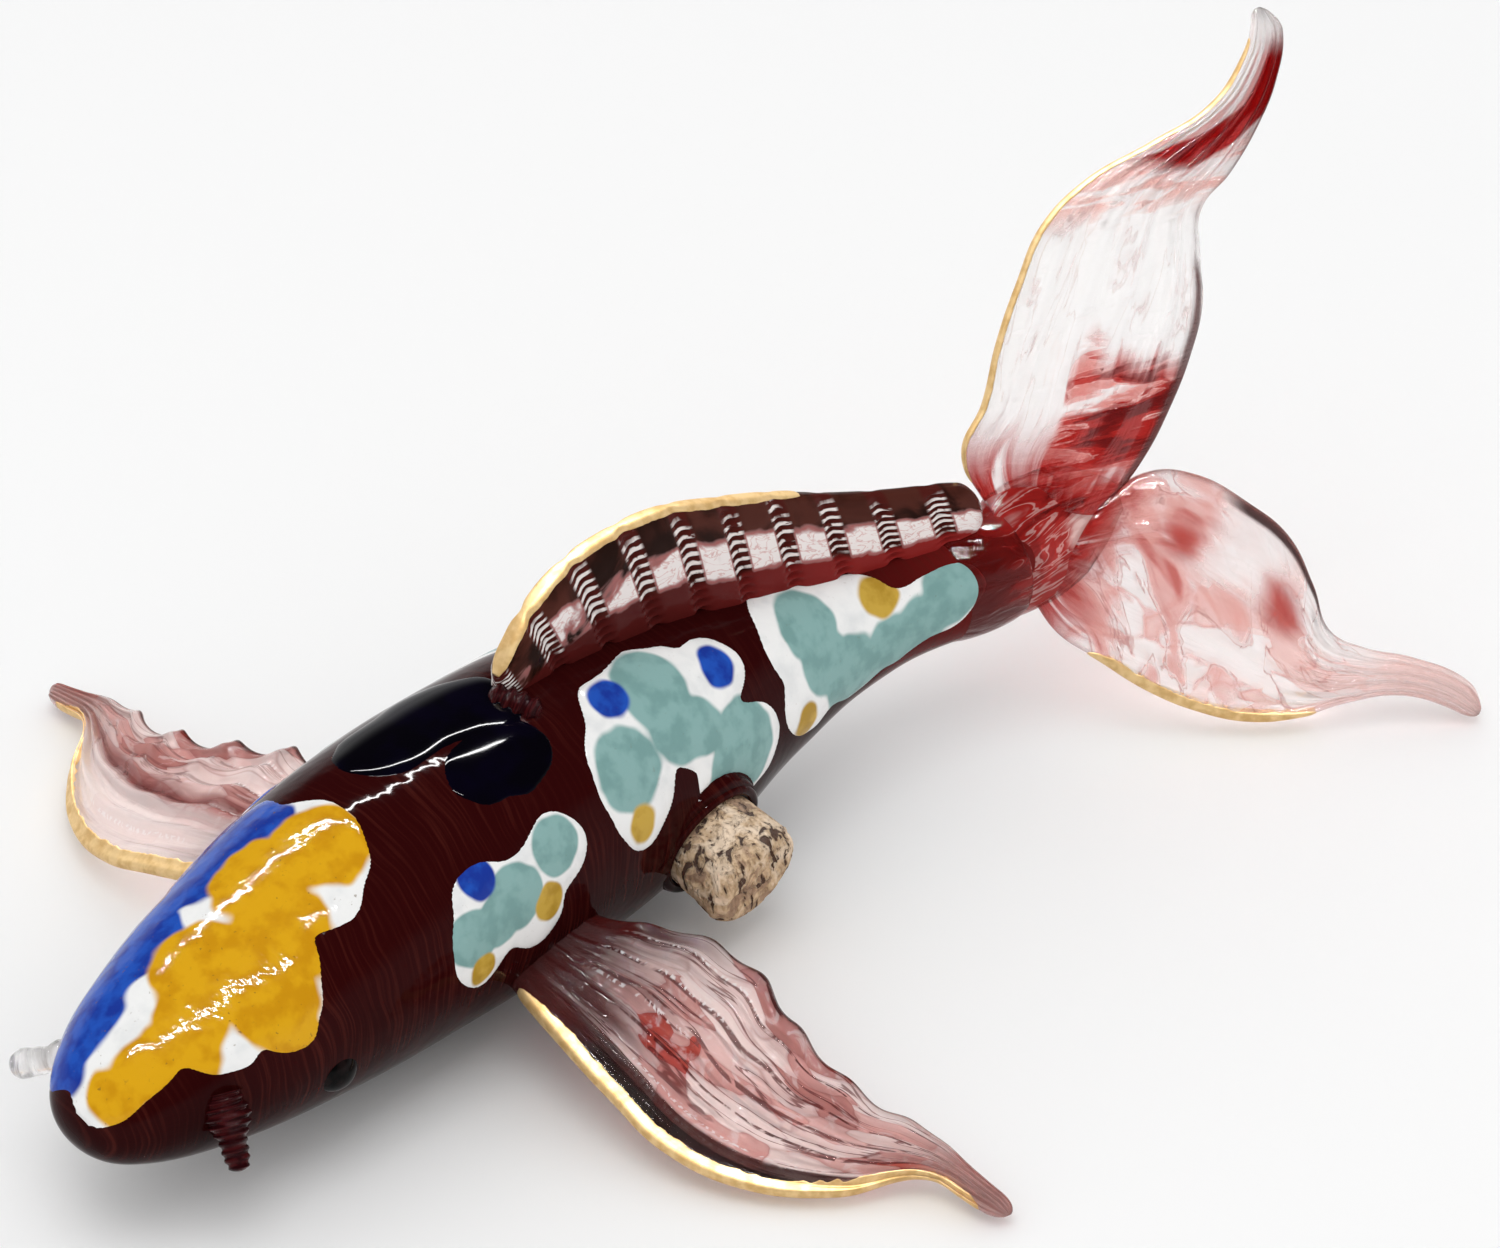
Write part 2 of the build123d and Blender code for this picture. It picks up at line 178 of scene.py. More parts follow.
class Board:
    """A node tree, filled through its node method and shorter ways to common nodes."""

    def __init__(self, tree):
        self.tree = tree

    def node(self, kind, settings=None, inputs=None):
        made = self.tree.nodes.new(kind)
        for key, value in (settings or {}).items():
            if key == "points":
                fill_curve(made.mapping, value)
            else:
                setattr(made, key, value)
        for key, value in (inputs or {}).items():
            socket = pick(made.inputs, key)
            if isinstance(value, Wire):
                self.tree.links.new(value.socket, socket)
            else:
                socket.default_value = value
        outputs = [s for s in made.outputs if s.enabled]
        return Wire(self, outputs[0]) if outputs else made

    def maths(self, kind, operation, *values):
        return self.node(kind, {"operation": operation}, dict(enumerate(values)))

    def xyz(self, x, y, z):
        return self.node("ShaderNodeCombineXYZ", {}, {"X": x, "Y": y, "Z": z})

    def split(self, vector):
        """The X, Y and Z of a vector."""
        return self.node("ShaderNodeSeparateXYZ", {}, {"Vector": vector})

    def mix(self, mask, first, second):
        inputs = {"Factor": mask, "A": first, "B": second}
        return self.node("ShaderNodeMix", {"data_type": "RGBA"}, inputs)

    def coats(self, colour, *coats):
        """A colour under further coats, each given as a mask and its own colour."""
        for mask, coat in coats:
            colour = self.mix(mask, colour, coat)
        return colour


# %% [markdown]
# ## From tree to piece
#
# A Geometry Nodes result is evaluated once and kept as a plain mesh, so that nothing is live when
# the piece is handed to its body. A piece made from arrays gets its normals turned outwards here.

# %% Trees
SEAM_GAP = 0.0004 * MM


def new_tree(name, inputs):
    """A Geometry Nodes tree with named inputs, its board and its input wires."""
    tree = bpy.data.node_groups.new(name, "GeometryNodeTree")
    for label, kind in inputs:
        tree.interface.new_socket(label, in_out="INPUT", socket_type="NodeSocket" + kind)
    tree.interface.new_socket("Mesh", in_out="OUTPUT", socket_type="NodeSocketGeometry")
    board = Board(tree)
    return tree, board, board.node("NodeGroupInput")


def rolled_grid(board, stations, around):
    """A flat grid, with each point's share along it and its turn round it."""
    sizes = {"Size X": 1.0, "Size Y": 1.0, "Vertices X": stations, "Vertices Y": around}
    grid = board.node("GeometryNodeMeshGrid", {}, sizes)
    flat = board.split(board.node("GeometryNodeInputPosition"))
    return grid, flat["X"] + 0.5, (flat["Y"] + 0.5) * FULL_TURN


def close_tree(board, given, mesh, position):
    """Move the grid into its shape, close its seams and give it its material."""
    for kind, inputs in (
        ("SetPosition", {"Position": position}),
        ("MergeByDistance", {"Distance": SEAM_GAP}),
        ("SetShadeSmooth", {}),
        ("RealizeInstances", {}),
        ("SetMaterial", {"Material": given["Finish"]}),
    ):
        mesh = board.node("GeometryNode" + kind, {}, {"Geometry": mesh, **inputs})
    board.node("NodeGroupOutput", {}, {"Mesh": mesh})


# %% Making and settling pieces


def place(name, data):
    """A new object in the scene."""
    piece = bpy.data.objects.new(name, data)
    bpy.context.scene.collection.objects.link(piece)
    return piece


def turn_outwards(mesh):
    """Point the faces of a closed mesh outwards."""
    work = bmesh.new()
    work.from_mesh(mesh)
    bmesh.ops.recalc_face_normals(work, faces=work.faces)
    if work.calc_volume(signed=True) < 0:
        bmesh.ops.reverse_faces(work, faces=work.faces)
    work.to_mesh(mesh)
    work.free()


def freeze(piece, modifier):
    """Keep the evaluated shape of a piece as a plain mesh, without its modifier."""
    depsgraph = bpy.context.evaluated_depsgraph_get()
    mesh = bpy.data.meshes.new_from_object(
        piece.evaluated_get(depsgraph), preserve_all_data_layers=True, depsgraph=depsgraph
    )
    piece.modifiers.remove(modifier)
    piece.data = mesh
    mesh.name = piece.name


def grow(name, tree, values):
    """A piece that a tree makes from these inputs."""
    piece = place(name, bpy.data.meshes.new(name + "_seed"))
    modifier = piece.modifiers.new("grow", "NODES")
    modifier.node_group = tree
    for item in tree.interface.items_tree:
        if item.in_out == "INPUT" and item.name in values:
            modifier[item.identifier] = values[item.name]
    freeze(piece, modifier)
    turn_outwards(piece.data)
    return piece


def build(name, points, faces, material):
    """A smooth piece from points in millimetres and faces."""
    mesh = bpy.data.meshes.new(name)
    mesh.from_pydata((np.asarray(points) * MM).tolist(), [], [list(map(int, f)) for f in faces])
    mesh.materials.append(material)
    turn_outwards(mesh)
    mesh.shade_smooth()
    return place(name, mesh)


def settle(piece, body, slot, *nodes):
    """A finished piece rides on its body and stands for its CAD nodes, where it has any."""
    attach(piece, body)
    if nodes:
        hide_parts(*nodes)
    print(piece.name, len(piece.data.polygons), "faces, for", ", ".join(nodes) or "looks alone")


# %% [markdown]
# ## Camera, floor and light
#
# The photo looks down on the fish's left side. The camera and the glass see white all round. A
# reflection sees the same white low down and a darker ceiling above, which keeps the dark body
# dark. Two long strips that only reflections see draw the thin highlights on the back and the head,
# and a broad lamp and the world give plain, soft light.

# %% Camera
EYE = Vector((256.5, -262.7, 281.5)) * MM
TARGET = Vector((5.1, 6.9, 23.4)) * MM
scene = bpy.context.scene
scene.view_settings.view_transform = "Standard"
camera_data = bpy.data.cameras.new("camera")
camera_data.sensor_width = 36.0
camera_data.lens = 123.4
camera_data.clip_start = 0.01
camera = place("camera", camera_data)
camera.location = EYE
camera.rotation_mode = "QUATERNION"
camera.rotation_quaternion = (TARGET - EYE).to_track_quat("-Z", "Y")
scene.camera = camera
print("camera", round((EYE - TARGET).length / MM), "mm from its target")

# %% World
FILL_LEVEL, CEILING_LEVEL = 0.88, 0.05
world = bpy.data.worlds.new("studio")
world.use_nodes = True
world.node_tree.nodes.clear()
board = Board(world.node_tree)
ray = board.node("ShaderNodeLightPath")
way = board.split(board.node("ShaderNodeTexCoord")["Generated"])
open_white = ray["Is Camera Ray"].at_least(ray["Is Transmission Ray"])
mirrored = 1 - (1 - CEILING_LEVEL) * way["Z"].ramp(0.02, 0.32)
level = FILL_LEVEL + open_white * (1 - FILL_LEVEL)
glossy = ray["Is Glossy Ray"] * (1 - open_white)
level = level * (1 - glossy) + mirrored * glossy
background = board.node("ShaderNodeBackground", {}, {"Color": (1, 1, 1, 1), "Strength": level})
board.node("ShaderNodeOutputWorld", {}, {"Surface": background})
scene.world = world
print("world level", FILL_LEVEL, "and", CEILING_LEVEL, "overhead in reflections")

# %% Lamps
STRIP_HEIGHT, STRIP_WIDTH, STRIP_AIM = 560, 15, (0, -25, 20)


def lamp(name, place_mm, aim_mm, long_way, size_mm, watts):
    """A rectangular lamp that looks at a point, with its long side along a direction."""
    light = bpy.data.lights.new(name, "AREA")
    light.shape = "RECTANGLE"
    light.size, light.size_y = (v * MM for v in size_mm)
    light.energy = watts
    body = place(name, light)
    z_way = (Vector(place_mm) - Vector(aim_mm)).normalized()
    x_way = Vector(long_way).cross(z_way).normalized()
    turn = Matrix((x_way, z_way.cross(x_way), z_way)).transposed().to_4x4()
    body.matrix_world = Matrix.Translation(Vector(place_mm) * MM) @ turn
    return body


soft = lamp("soft_overhead", (120, -160, 700), (0, 0, 0), (0, 1, 0), (420, 420), 0.95)
soft.visible_glossy = False
for name, x, y, long_way, length, watts in (
    ("strip_along_back", -248, 159, (0.81, 0.59, 0), 655, 11.5),
    ("strip_on_head", 106, -136, (0.83, 0.56, 0), 547, 8.0),
):
    strip = lamp(name, (x, y, STRIP_HEIGHT), STRIP_AIM, long_way, (STRIP_WIDTH, length), watts)
    strip.visible_diffuse = False
    print(name, length, "mm long")

# %% Floor
FLOOR_HALF = 3000
floor_mesh = bpy.data.meshes.new("floor")
signs = ((-1, -1), (1, -1), (1, 1), (-1, 1))
corners = [(x * FLOOR_HALF * MM, y * FLOOR_HALF * MM, 0) for x, y in signs]
floor_mesh.from_pydata(corners, [], [(0, 1, 2, 3)])
floor = place("floor", floor_mesh)
paper = bpy.data.materials.new("white_paper")
paper.use_nodes = True
for socket, value in (
    ("Base Color", (0.94, 0.94, 0.94, 1)),
    ("Roughness", 0.9),
    ("Specular IOR Level", 0.0),
):
    paper.node_tree.nodes["Principled BSDF"].inputs[socket].default_value = value
floor_mesh.materials.append(paper)
floor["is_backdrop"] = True
print("floor", 2 * FLOOR_HALF, "mm across")

# %% [markdown]
# ## Glass and its colours
#
# Every finish here is a Principled shader. What is the same all over is set on its sockets. What
# changes, such as the brown rings that the gather leaves in the body, is wired to Base Color,
# Roughness or a Bump.

# %% The finish helpers


def new_finish(name):
    """An empty material and its board."""
    material = bpy.data.materials.new(name)
    material.use_nodes = True
    material.node_tree.nodes.clear()
    return material, Board(material.node_tree)


def shade(board, sockets, height=None, bump=0.0):
    """End a material in one Principled shader, with a Bump in millimetres if a height is given."""
    if height is not None:
        inputs = {"Height": height, "Strength": 1.0, "Distance": bump * MM}
        sockets["Normal"] = board.node("ShaderNodeBump", {}, inputs)
    shader = board.node("ShaderNodeBsdfPrincipled", {}, sockets)
    board.node("ShaderNodeOutputMaterial", {}, {"Surface": shader})


def grain(board, vector, scale, detail=2.0, distortion=0.0):
    """Noise from 0 to 1 with features of about 1/scale."""
    inputs = {"Vector": vector, "Scale": scale, "Detail": detail, "Distortion": distortion}
    return board.node("ShaderNodeTexNoise", {}, inputs)


def object_place(board):
    """The place on the object, in millimetres."""
    return board.node("ShaderNodeTexCoord")["Object"] * (1.0 / MM)


# %% The dark body glass
GLASS_IOR = 1.46
OXBLOOD = (0.026, 0.0022, 0.0024, 1)
BROWN_RING = (0.062, 0.0105, 0.0075, 1)
# Painted shade for the lower body.
SHADE_BLACK = (0.0045, 0.0006, 0.0008, 1)
STEM_RED = (0.150, 0.010, 0.009, 1)


def body_glass():
    """Painted shade makes it nearly black below; dark red above and red at the stem, with the rings
    of the gather.
    """
    material, board = new_finish("body_glass")
    spot = object_place(board)
    part = board.split(spot)
    sway = grain(board, spot, 0.09) - 0.5
    drawn = board.xyz(part["X"] * 0.03, part["Y"] + sway * 4.0, part["Z"] * 0.03)
    rings = grain(board, drawn, 3.2, 6.0)
    veil = grain(board, spot, 0.07, 3.0)
    # Painted shade: the body is nearly black low down, and its own dark red shows higher up.
    shade_height = part["Z"] + (veil - 0.5) * 14
    behind = part["Y"] + (veil - 0.5) * 10
    colour = board.coats(
        SHADE_BLACK,
        (shade_height.ramp(2.0, 19.0), OXBLOOD),
        (behind.ramp(14.0, 34.0) * 0.85, STEM_RED),
        (rings.ramp(0.44, 0.72) * (0.12 + veil.ramp(0.38, 0.64) * 0.6), BROWN_RING),
    )
    sockets = {
        "Base Color": colour,
        "Roughness": 0.04 + rings * 0.03,
        "Specular IOR Level": 0.04,
        "IOR": GLASS_IOR,
    }
    shade(board, sockets, grain(board, spot, 0.30), 0.10)
    return material


BODY_GLASS = body_glass()
print("finish", BODY_GLASS.name)

# %% [markdown]
# ## The body
#
# A blown body has an oval section that swells and narrows along a bent line. That is a rule, so a
# Geometry Nodes tree makes it: a flat grid is rolled round the line, and four Float Curves give
# the sideways bend, the height of the line and the two half sizes. The grid runs in cosine steps,
# which puts more rings where the nose and the stem turn sharply.

# %% Body rows
BODY_LENGTH, BODY_WIDTH, BODY_HEIGHT, BODY_BEND = 108.6, 25.6, 27.8, 9.8
NOSE_REACH, BELLY_FLAT, BELLY_ROUND = 69.8, 0.4, 0.2
# Share of the length, sideways bend, height of the line, half width, half height.
BODY_SHARES = [
    (0.000, 0.22, 0.430, 0.000, 0.000),
    (0.009, 0.22, 0.430, 0.144, 0.100),
    (0.038, 0.20, 0.440, 0.250, 0.188),
    (0.102, 0.15, 0.453, 0.356, 0.287),
    (0.199, 0.09, 0.478, 0.443, 0.386),
    (0.328, 0.02, 0.503, 0.498, 0.472),
    (0.475, 0.00, 0.500, 0.492, 0.500),
    (0.613, 0.06, 0.511, 0.430, 0.446),
    (0.742, 0.19, 0.540, 0.296, 0.316),
    (0.853, 0.44, 0.580, 0.202, 0.216),
    (0.972, 0.88, 0.626, 0.168, 0.176),
    (1.000, 1.00, 0.640, 0.000, 0.000),
]
STEPS = [math.acos(1 - 2 * row[0]) / math.pi for row in BODY_SHARES]
PROFILES = [
    [(step, row[column]) for step, row in zip(STEPS, BODY_SHARES)] for column in range(1, 5)
]
print(len(BODY_SHARES), "rows along the body")

# %% Body sweep
body_sizes = {
    "Length": BODY_LENGTH * MM,
    "Width": BODY_WIDTH * MM,
    "Height": BODY_HEIGHT * MM,
    "Bend": BODY_BEND * MM,
    "Nose Reach": NOSE_REACH * MM,
    "Belly Flat": BELLY_FLAT * MM,
}
body_tree, board, given = new_tree(
    "body_sweep",
    [(label, "Float") for label in body_sizes]
    + [("Rings", "Int"), ("Segments", "Int"), ("Finish", "Material")],
)
grid, step, turn = rolled_grid(board, given["Rings"], given["Segments"])
BODY_CURVES = [
    board.node("ShaderNodeFloatCurve", {"points": points}, {"Value": step}) for points in PROFILES
]
side, rise, wide, high = BODY_CURVES
along = 0.5 - 0.5 * (step * math.pi).cos()
height = rise * given["Height"] - given["Belly Flat"] + high * given["Height"] * turn.cos()
position = board.xyz(
    side * given["Bend"] + wide * given["Width"] * turn.sin(),
    along * given["Length"] - given["Nose Reach"],
    height.number("SMOOTH_MAX", 0.0, BELLY_ROUND * MM),
)
close_tree(board, given, grid, position)
body_values = {**body_sizes, "Rings": 220, "Segments": 145, "Finish": BODY_GLASS}
body = grow("koi_body", body_tree, body_values)
print("body", len(body.data.vertices), "points")

# %% [markdown]
# ## Points on the skin
#
# The patches, the cork neck, the eyes and the barbels all sit on the body. They read the same
# four curves, so a point of the skin is known anywhere from a share of the length and a turn from
# the top towards the fish's left.

# %% Skin points
SAMPLES = np.linspace(0, 1, 2001)
SHARE_STEP, TURN_STEP, PLANE_STEP = 0.002, 0.5, 0.05
CORK_SHARE, NECK_TURN = 0.599, 110.0
TABLES = []
for wire in BODY_CURVES:
    mapping = wire.socket.node.mapping
    mapping.initialize()
    TABLES.append(np.array([mapping.evaluate(mapping.curves[0], float(s)) for s in SAMPLES]))


def skin(share, turn_deg):
    """Points of the body's skin in millimetres."""
    share = np.clip(share, 0, 1)
    step = np.arccos(1 - 2 * share) / math.pi
    side, rise, wide, high = [np.interp(step, SAMPLES, table) for table in TABLES]
    turn = np.radians(turn_deg)
    x = side * BODY_BEND + wide * BODY_WIDTH * np.sin(turn)
    y = share * BODY_LENGTH - NOSE_REACH + 0 * turn
    z = rise * BODY_HEIGHT - BELLY_FLAT + high * BODY_HEIGHT * np.cos(turn)
    return np.stack([x, y, z], axis=-1)


def unit(v):
    return v / np.linalg.norm(v, axis=-1, keepdims=True)


def outward(turn_deg):
    """The direction away from the body's middle line at a turn."""
    turn = math.radians(turn_deg)
    return np.array([math.sin(turn), 0, math.cos(turn)])


def skin_normal(share, turn_deg):
    """Outward normals of the skin."""
    back = skin(share + SHARE_STEP, turn_deg) - skin(share - SHARE_STEP, turn_deg)
    round_ = skin(share, turn_deg + TURN_STEP) - skin(share, turn_deg - TURN_STEP)
    return unit(np.cross(back, -round_))


def skin_axes(share, turn_deg):
    """Origin, back direction and upward direction of the plane that touches the skin."""
    back = unit(skin(share + PLANE_STEP, turn_deg) - skin(share - PLANE_STEP, turn_deg))
    out = outward(turn_deg)
    out = unit(out - back * (out @ back))
    return skin(share, turn_deg), back, np.cross(out, back)


NECK_ORIGIN = skin(CORK_SHARE, NECK_TURN)
print("skin at the cork", NECK_ORIGIN.round(2), skin_normal(CORK_SHARE, NECK_TURN).round(2))

# %% [markdown]
# ## Hollow and neck
#
# The body was blown, so it is a shell with a hole in its flank, and the hole has a short collar
# that grips the cork. The hollow is the skin moved inwards; a Boolean drills the hole, and the
# collar is turned as a ring with a rounded lip and a tapered bore.

# %% Lathe and grid faces
NECK_Z = outward(105)
NECK_X = np.array([0.0, 1.0, 0.0])
NECK_Y = np.cross(NECK_Z, NECK_X)
CORK_RADIUS, CORK_LENGTH, CORK_OUT, CORK_TAPER = 5.1, 12.0, 6.2, 1.4


def cork_radius(height):
    return CORK_RADIUS - (CORK_OUT - height) / CORK_LENGTH * CORK_TAPER / 2


def grid_faces(rows, columns, wrap_rows=False):
    """Quads of a grid whose columns close on themselves."""
    r = np.arange(rows if wrap_rows else rows - 1)[:, None]
    c = np.arange(columns)[None, :]
    a = r * columns + c
    b = r * columns + (c + 1) % columns
    d = (r + 1) % rows * columns + c
    e = (r + 1) % rows * columns + (c + 1) % columns
    return np.stack([a, b, e, d], axis=-1).reshape(-1, 4).tolist()


def capped_faces(rows, columns):
    """Quads of a tube of rings, and a face on each end."""
    ends = [list(range(start, start + columns)) for start in (0, (rows - 1) * columns)]
    return grid_faces(rows, columns) + ends


def lathe(profile, columns):
    """Points of a profile of radius and height that is turned about the neck's axis."""
    angles = np.linspace(0, FULL_TURN, columns, endpoint=False)
    ring = np.cos(angles)[:, None] * NECK_X + np.sin(angles)[:, None] * NECK_Y
    return np.concatenate([NECK_ORIGIN + r * ring + height * NECK_Z for r, height in profile])


cork_ends = [round(2 * cork_radius(h), 1) for h in (CORK_OUT, CORK_OUT - CORK_LENGTH)]
print("cork ends", cork_ends, "mm across")

# %% Neck
NECK_WALL, NECK_RISE, NECK_DEPTH, SLACK, NECK_COLUMNS = 1.0, 0.5, 4.2, 0.06, 96
NECK_BORE = cork_radius(NECK_RISE) + SLACK
NECK_RIM = NECK_BORE + NECK_WALL
half_wall = NECK_WALL / 2
lip_middle = NECK_RISE - half_wall
# The skirt under the skin, the round lip, the tapered bore and the inner end.
neck_profile = [(NECK_RIM + 0.6, -1.6), (NECK_RIM + 0.25, -0.6), (NECK_RIM, 0.1)]
neck_profile += [
    (NECK_BORE + half_wall + half_wall * math.cos(a), lip_middle + half_wall * math.sin(a))
    for a in np.linspace(0, math.pi, 13)
]
neck_profile += [(cork_radius(h) + SLACK, h) for h in np.linspace(0.2, -NECK_DEPTH, 8)]
neck_profile += [(NECK_RIM - 0.3, -NECK_DEPTH), (NECK_RIM + 0.3, -NECK_DEPTH + 1.0)]
neck_faces = grid_faces(len(neck_profile), NECK_COLUMNS, True)
neck = build("cork_neck", lathe(neck_profile, NECK_COLUMNS), neck_faces, BODY_GLASS)

# %% Hollow
WALL, HOLLOW_COLUMNS = 1.8, 72
DRILL_SLACK, DRILL_LOW, DRILL_HIGH, DRILL_AXIS = 0.35, -8.0, 4.0, 0.001


def hollow(shares):
    """The skin moved inwards by the wall, as a closed form of its own."""
    turns = np.linspace(0, 360, HOLLOW_COLUMNS, endpoint=False)
    s, t = np.meshgrid(shares, turns, indexing="ij")
    points = (skin(s, t) - WALL * skin_normal(s, t)).reshape(-1, 3)
    return build("hollow", points, capped_faces(len(shares), HOLLOW_COLUMNS), BODY_GLASS)


def carve(piece, tool):
    """Take a tool away from a piece, then drop the tool."""
    cut = piece.modifiers.new("cut", "BOOLEAN")
    cut.operation, cut.solver, cut.object = "DIFFERENCE", "EXACT", tool
    freeze(piece, cut)
    bpy.data.objects.remove(tool)


carve(body, hollow(np.linspace(0.05, 0.84, 60)))
drill = [(DRILL_AXIS, DRILL_LOW), (NECK_BORE + DRILL_SLACK, DRILL_LOW)]
drill += [(NECK_BORE + DRILL_SLACK, DRILL_HIGH), (DRILL_AXIS, DRILL_HIGH)]
drill_faces = grid_faces(len(drill), NECK_COLUMNS)
carve(body, build("drill", lathe(drill, NECK_COLUMNS), drill_faces, BODY_GLASS))
body.data.set_sharp_from_angle(angle=math.radians(40))
settle(body, "figurine", "body_glass", "body_shell")
settle(neck, "figurine", "body_glass")

# %% [markdown]
# ## Colour patches
#
# Each patch is opaque glass laid on hot, so it sits a little proud of the skin with a soft, round
# edge. A patch is a run of drops on a plane that touches the body. The drops melt into one field,
# and the skin is lifted where the field is positive and dips under the body where it is negative,
# so the outline is drawn by the surface itself. The plane's own coordinates are kept as a UV map
# for the colours.

# %% Patch parts
PATCH_RISE, PATCH_SINK, PATCH_PITCH, PATCH_REACH = 0.26, 0.30, 0.24, 0.75
PATCH_TURN, PATCH_THIN, EDGE_ROUND, EDGE_DIP = 88, 0.02, 0.8, 0.9
MELT, WOBBLE, WOBBLE_SCALE, BRIM, OUTSIDE = 1.6, 0.35, 0.35, -0.45, 9


def drop_field(x, y, drops):
    """Depth inside a run of melted drops, in the same unit as the plane."""
    total = 0
    for along, up, half_long, half_high in drops:
        reach = np.sqrt(((x - along) / half_long) ** 2 + ((y - up) / half_high) ** 2)
        total = total + np.exp((1 - reach) * min(half_long, half_high) * MELT)
    return np.log(total) / MELT


def patch_grid(length, share, turn_deg):
    """Shares and turns of a fine grid on the skin round a place."""
    reach = PATCH_REACH * length
    half_share = reach / BODY_LENGTH
    half_turn = min(105.0, math.degrees(reach / (0.42 * BODY_WIDTH)))
    first, last = max(share - half_share, 0.004), min(share + half_share, 0.985)
    pitch_deg = math.degrees(PATCH_PITCH / (0.5 * BODY_WIDTH))
    turns = np.arange(turn_deg - half_turn, turn_deg + half_turn, pitch_deg)
    return np.meshgrid(np.arange(first, last, PATCH_PITCH / BODY_LENGTH), turns, indexing="ij")


def clear_of_neck(base):
    """Distance outside the collar of the neck, for points near it."""
    around = base - NECK_ORIGIN
    height = around @ NECK_Z
    away = np.linalg.norm(around - height[..., None] * NECK_Z, axis=-1)
    return np.where(height > -6, away - NECK_RIM - 0.5, OUTSIDE)


def sheet_faces(keep):
    """Numbers of the grid points in use, and faces of a closed sheet with two sides over them."""
    number = np.arange(keep.size).reshape(keep.shape)
    numbers, kept = [
        [grid[:-1, :-1], grid[1:, :-1], grid[1:, 1:], grid[:-1, 1:]] for grid in (number, keep)
    ]
    corners = np.stack(numbers, axis=-1)[np.logical_and.reduce(kept)]
    used, local = np.unique(corners, return_inverse=True)
    local = local.reshape(corners.shape)
    count = len(used)
    faces = local.tolist()
    edges = dict.fromkeys(edge for face in faces for edge in zip(face, face[1:] + face[:1]))
    walls = [(b, a, a + count, b + count) for a, b in edges if (b, a) not in edges]
    return used, faces + (local[:, ::-1] + count).tolist() + walls


# %% Patch builder


def patch(name, length, drops, share, turn_deg, material):
    """A patch of melted drops on the skin."""
    side_sign = 1 if turn_deg >= 0 else -1
    drops = [(a * length, side_sign * u * length, l * length, h * length) for a, u, l, h in drops]
    origin, back, up = skin_axes(share, turn_deg)
    s, t = patch_grid(length, share, turn_deg)
    base, normal = skin(s, t), skin_normal(s, t)
    x, y = (base - origin) @ back, (base - origin) @ up
    rows = base.tolist()
    wobble = np.array([[noise.noise(Vector(p) * WOBBLE_SCALE) for p in row] for row in rows])
    field = drop_field(x, y, drops) + WOBBLE * wobble
    field = np.where(np.abs(t - turn_deg) > PATCH_TURN, -OUTSIDE, field)
    field = np.minimum(field, clear_of_neck(base))
    raised = PATCH_RISE * (1 - np.exp(-field / EDGE_ROUND))
    lift = np.maximum(np.where(field > 0, raised, field * EDGE_DIP), -PATCH_SINK + PATCH_THIN)
    used, faces = sheet_faces(field > BRIM)
    top = (base + normal * lift[..., None]).reshape(-1, 3)[used]
    under = (base - normal * PATCH_SINK).reshape(-1, 3)[used]
    piece = build(name, np.concatenate([top, under]), faces, material)
    plane = np.stack([x, side_sign * y], axis=-1).reshape(-1, 2)[used] / length + 0.5
    loops = np.zeros(len(piece.data.loops), np.int32)
    piece.data.loops.foreach_get("vertex_index", loops)
    layer = piece.data.uv_layers.new(name="patch_plane")
    layer.data.foreach_set("uv", np.concatenate([plane, plane])[loops].astype(np.float32).ravel())
    return piece


# %% [markdown]
# ## Patch colours
#
# The drops inside a patch keep crisp edges because the glasses don't mix. The shader repeats the
# idea of the melted drops on the patch's UV map: the largest of several round fields is cut off
# sharply, after a little noise has bent the outlines.

# %% Patch finish
# Each coloured glass has a light and a deep shade.
MILK = ((0.86, 0.86, 0.85, 1), (0.74, 0.75, 0.75, 1))
CELADON = ((0.245, 0.415, 0.400, 1), (0.185, 0.335, 0.322, 1))
COBALT = ((0.018, 0.085, 0.460, 1), (0.012, 0.038, 0.300, 1))
OCHRE = ((0.56, 0.36, 0.060, 1), (0.42, 0.25, 0.030, 1))
MUSTARD = ((0.69, 0.36, 0.010, 1), (0.58, 0.27, 0.006, 1))
INK = ((0.0016, 0.0012, 0.0028, 1), (0.002, 0.0012, 0.006, 1))
SPECK = (0.16, 0.085, 0.02, 1)
DROP_EDGE, DROP_MELT = 0.010, 0.03


def drop_mask(spot, drops):
    """1 inside any of the drops, given as along, up and radius on the patch plane."""
    field = None
    for along, up, radius in drops:
        depth = radius - spot.vector("DISTANCE", (along + 0.5, up + 0.5, 0.0))["Value"]
        field = depth if field is None else field.number("SMOOTH_MAX", depth, DROP_MELT)
    return field.ramp(-DROP_EDGE, DROP_EDGE)


def patch_finish(name, layers, bend=0.05, speckled=0.15):
    """White glass with layers of drops, each in the two shades of its colour."""
    material, board = new_finish(name)
    place_mm = object_place(board)
    plane = board.node("ShaderNodeUVMap", {"uv_map": "patch_plane"})
    sway = grain(board, place_mm, 0.32, 1.0)["Color"]
    spot = plane + sway.vector("SUBTRACT", (0.5, 0.5, 0.5)) * bend
    spot = spot.vector("MULTIPLY", (1, 1, 0))
    cloud = grain(board, place_mm, 0.45, 3.0)
    colour = board.mix(cloud.ramp(0.4, 0.8), *MILK)
    for drops, shades in layers:
        tone = board.mix(cloud.ramp(0.40, 0.64), *shades)
        colour = board.mix(drop_mask(spot, drops), colour, tone)
    specks = grain(board, place_mm, 2.6).ramp(0.66, 0.74)
    specks = specks * grain(board, place_mm, 0.5).ramp(0.45, 0.6)
    colour = board.mix(specks * speckled, colour, SPECK)
    sockets = {"Base Color": colour, "Roughness": 0.04 + cloud * 0.05, "Specular IOR Level": 0.10}
    shade(board, sockets, cloud, 0.12)
    return material


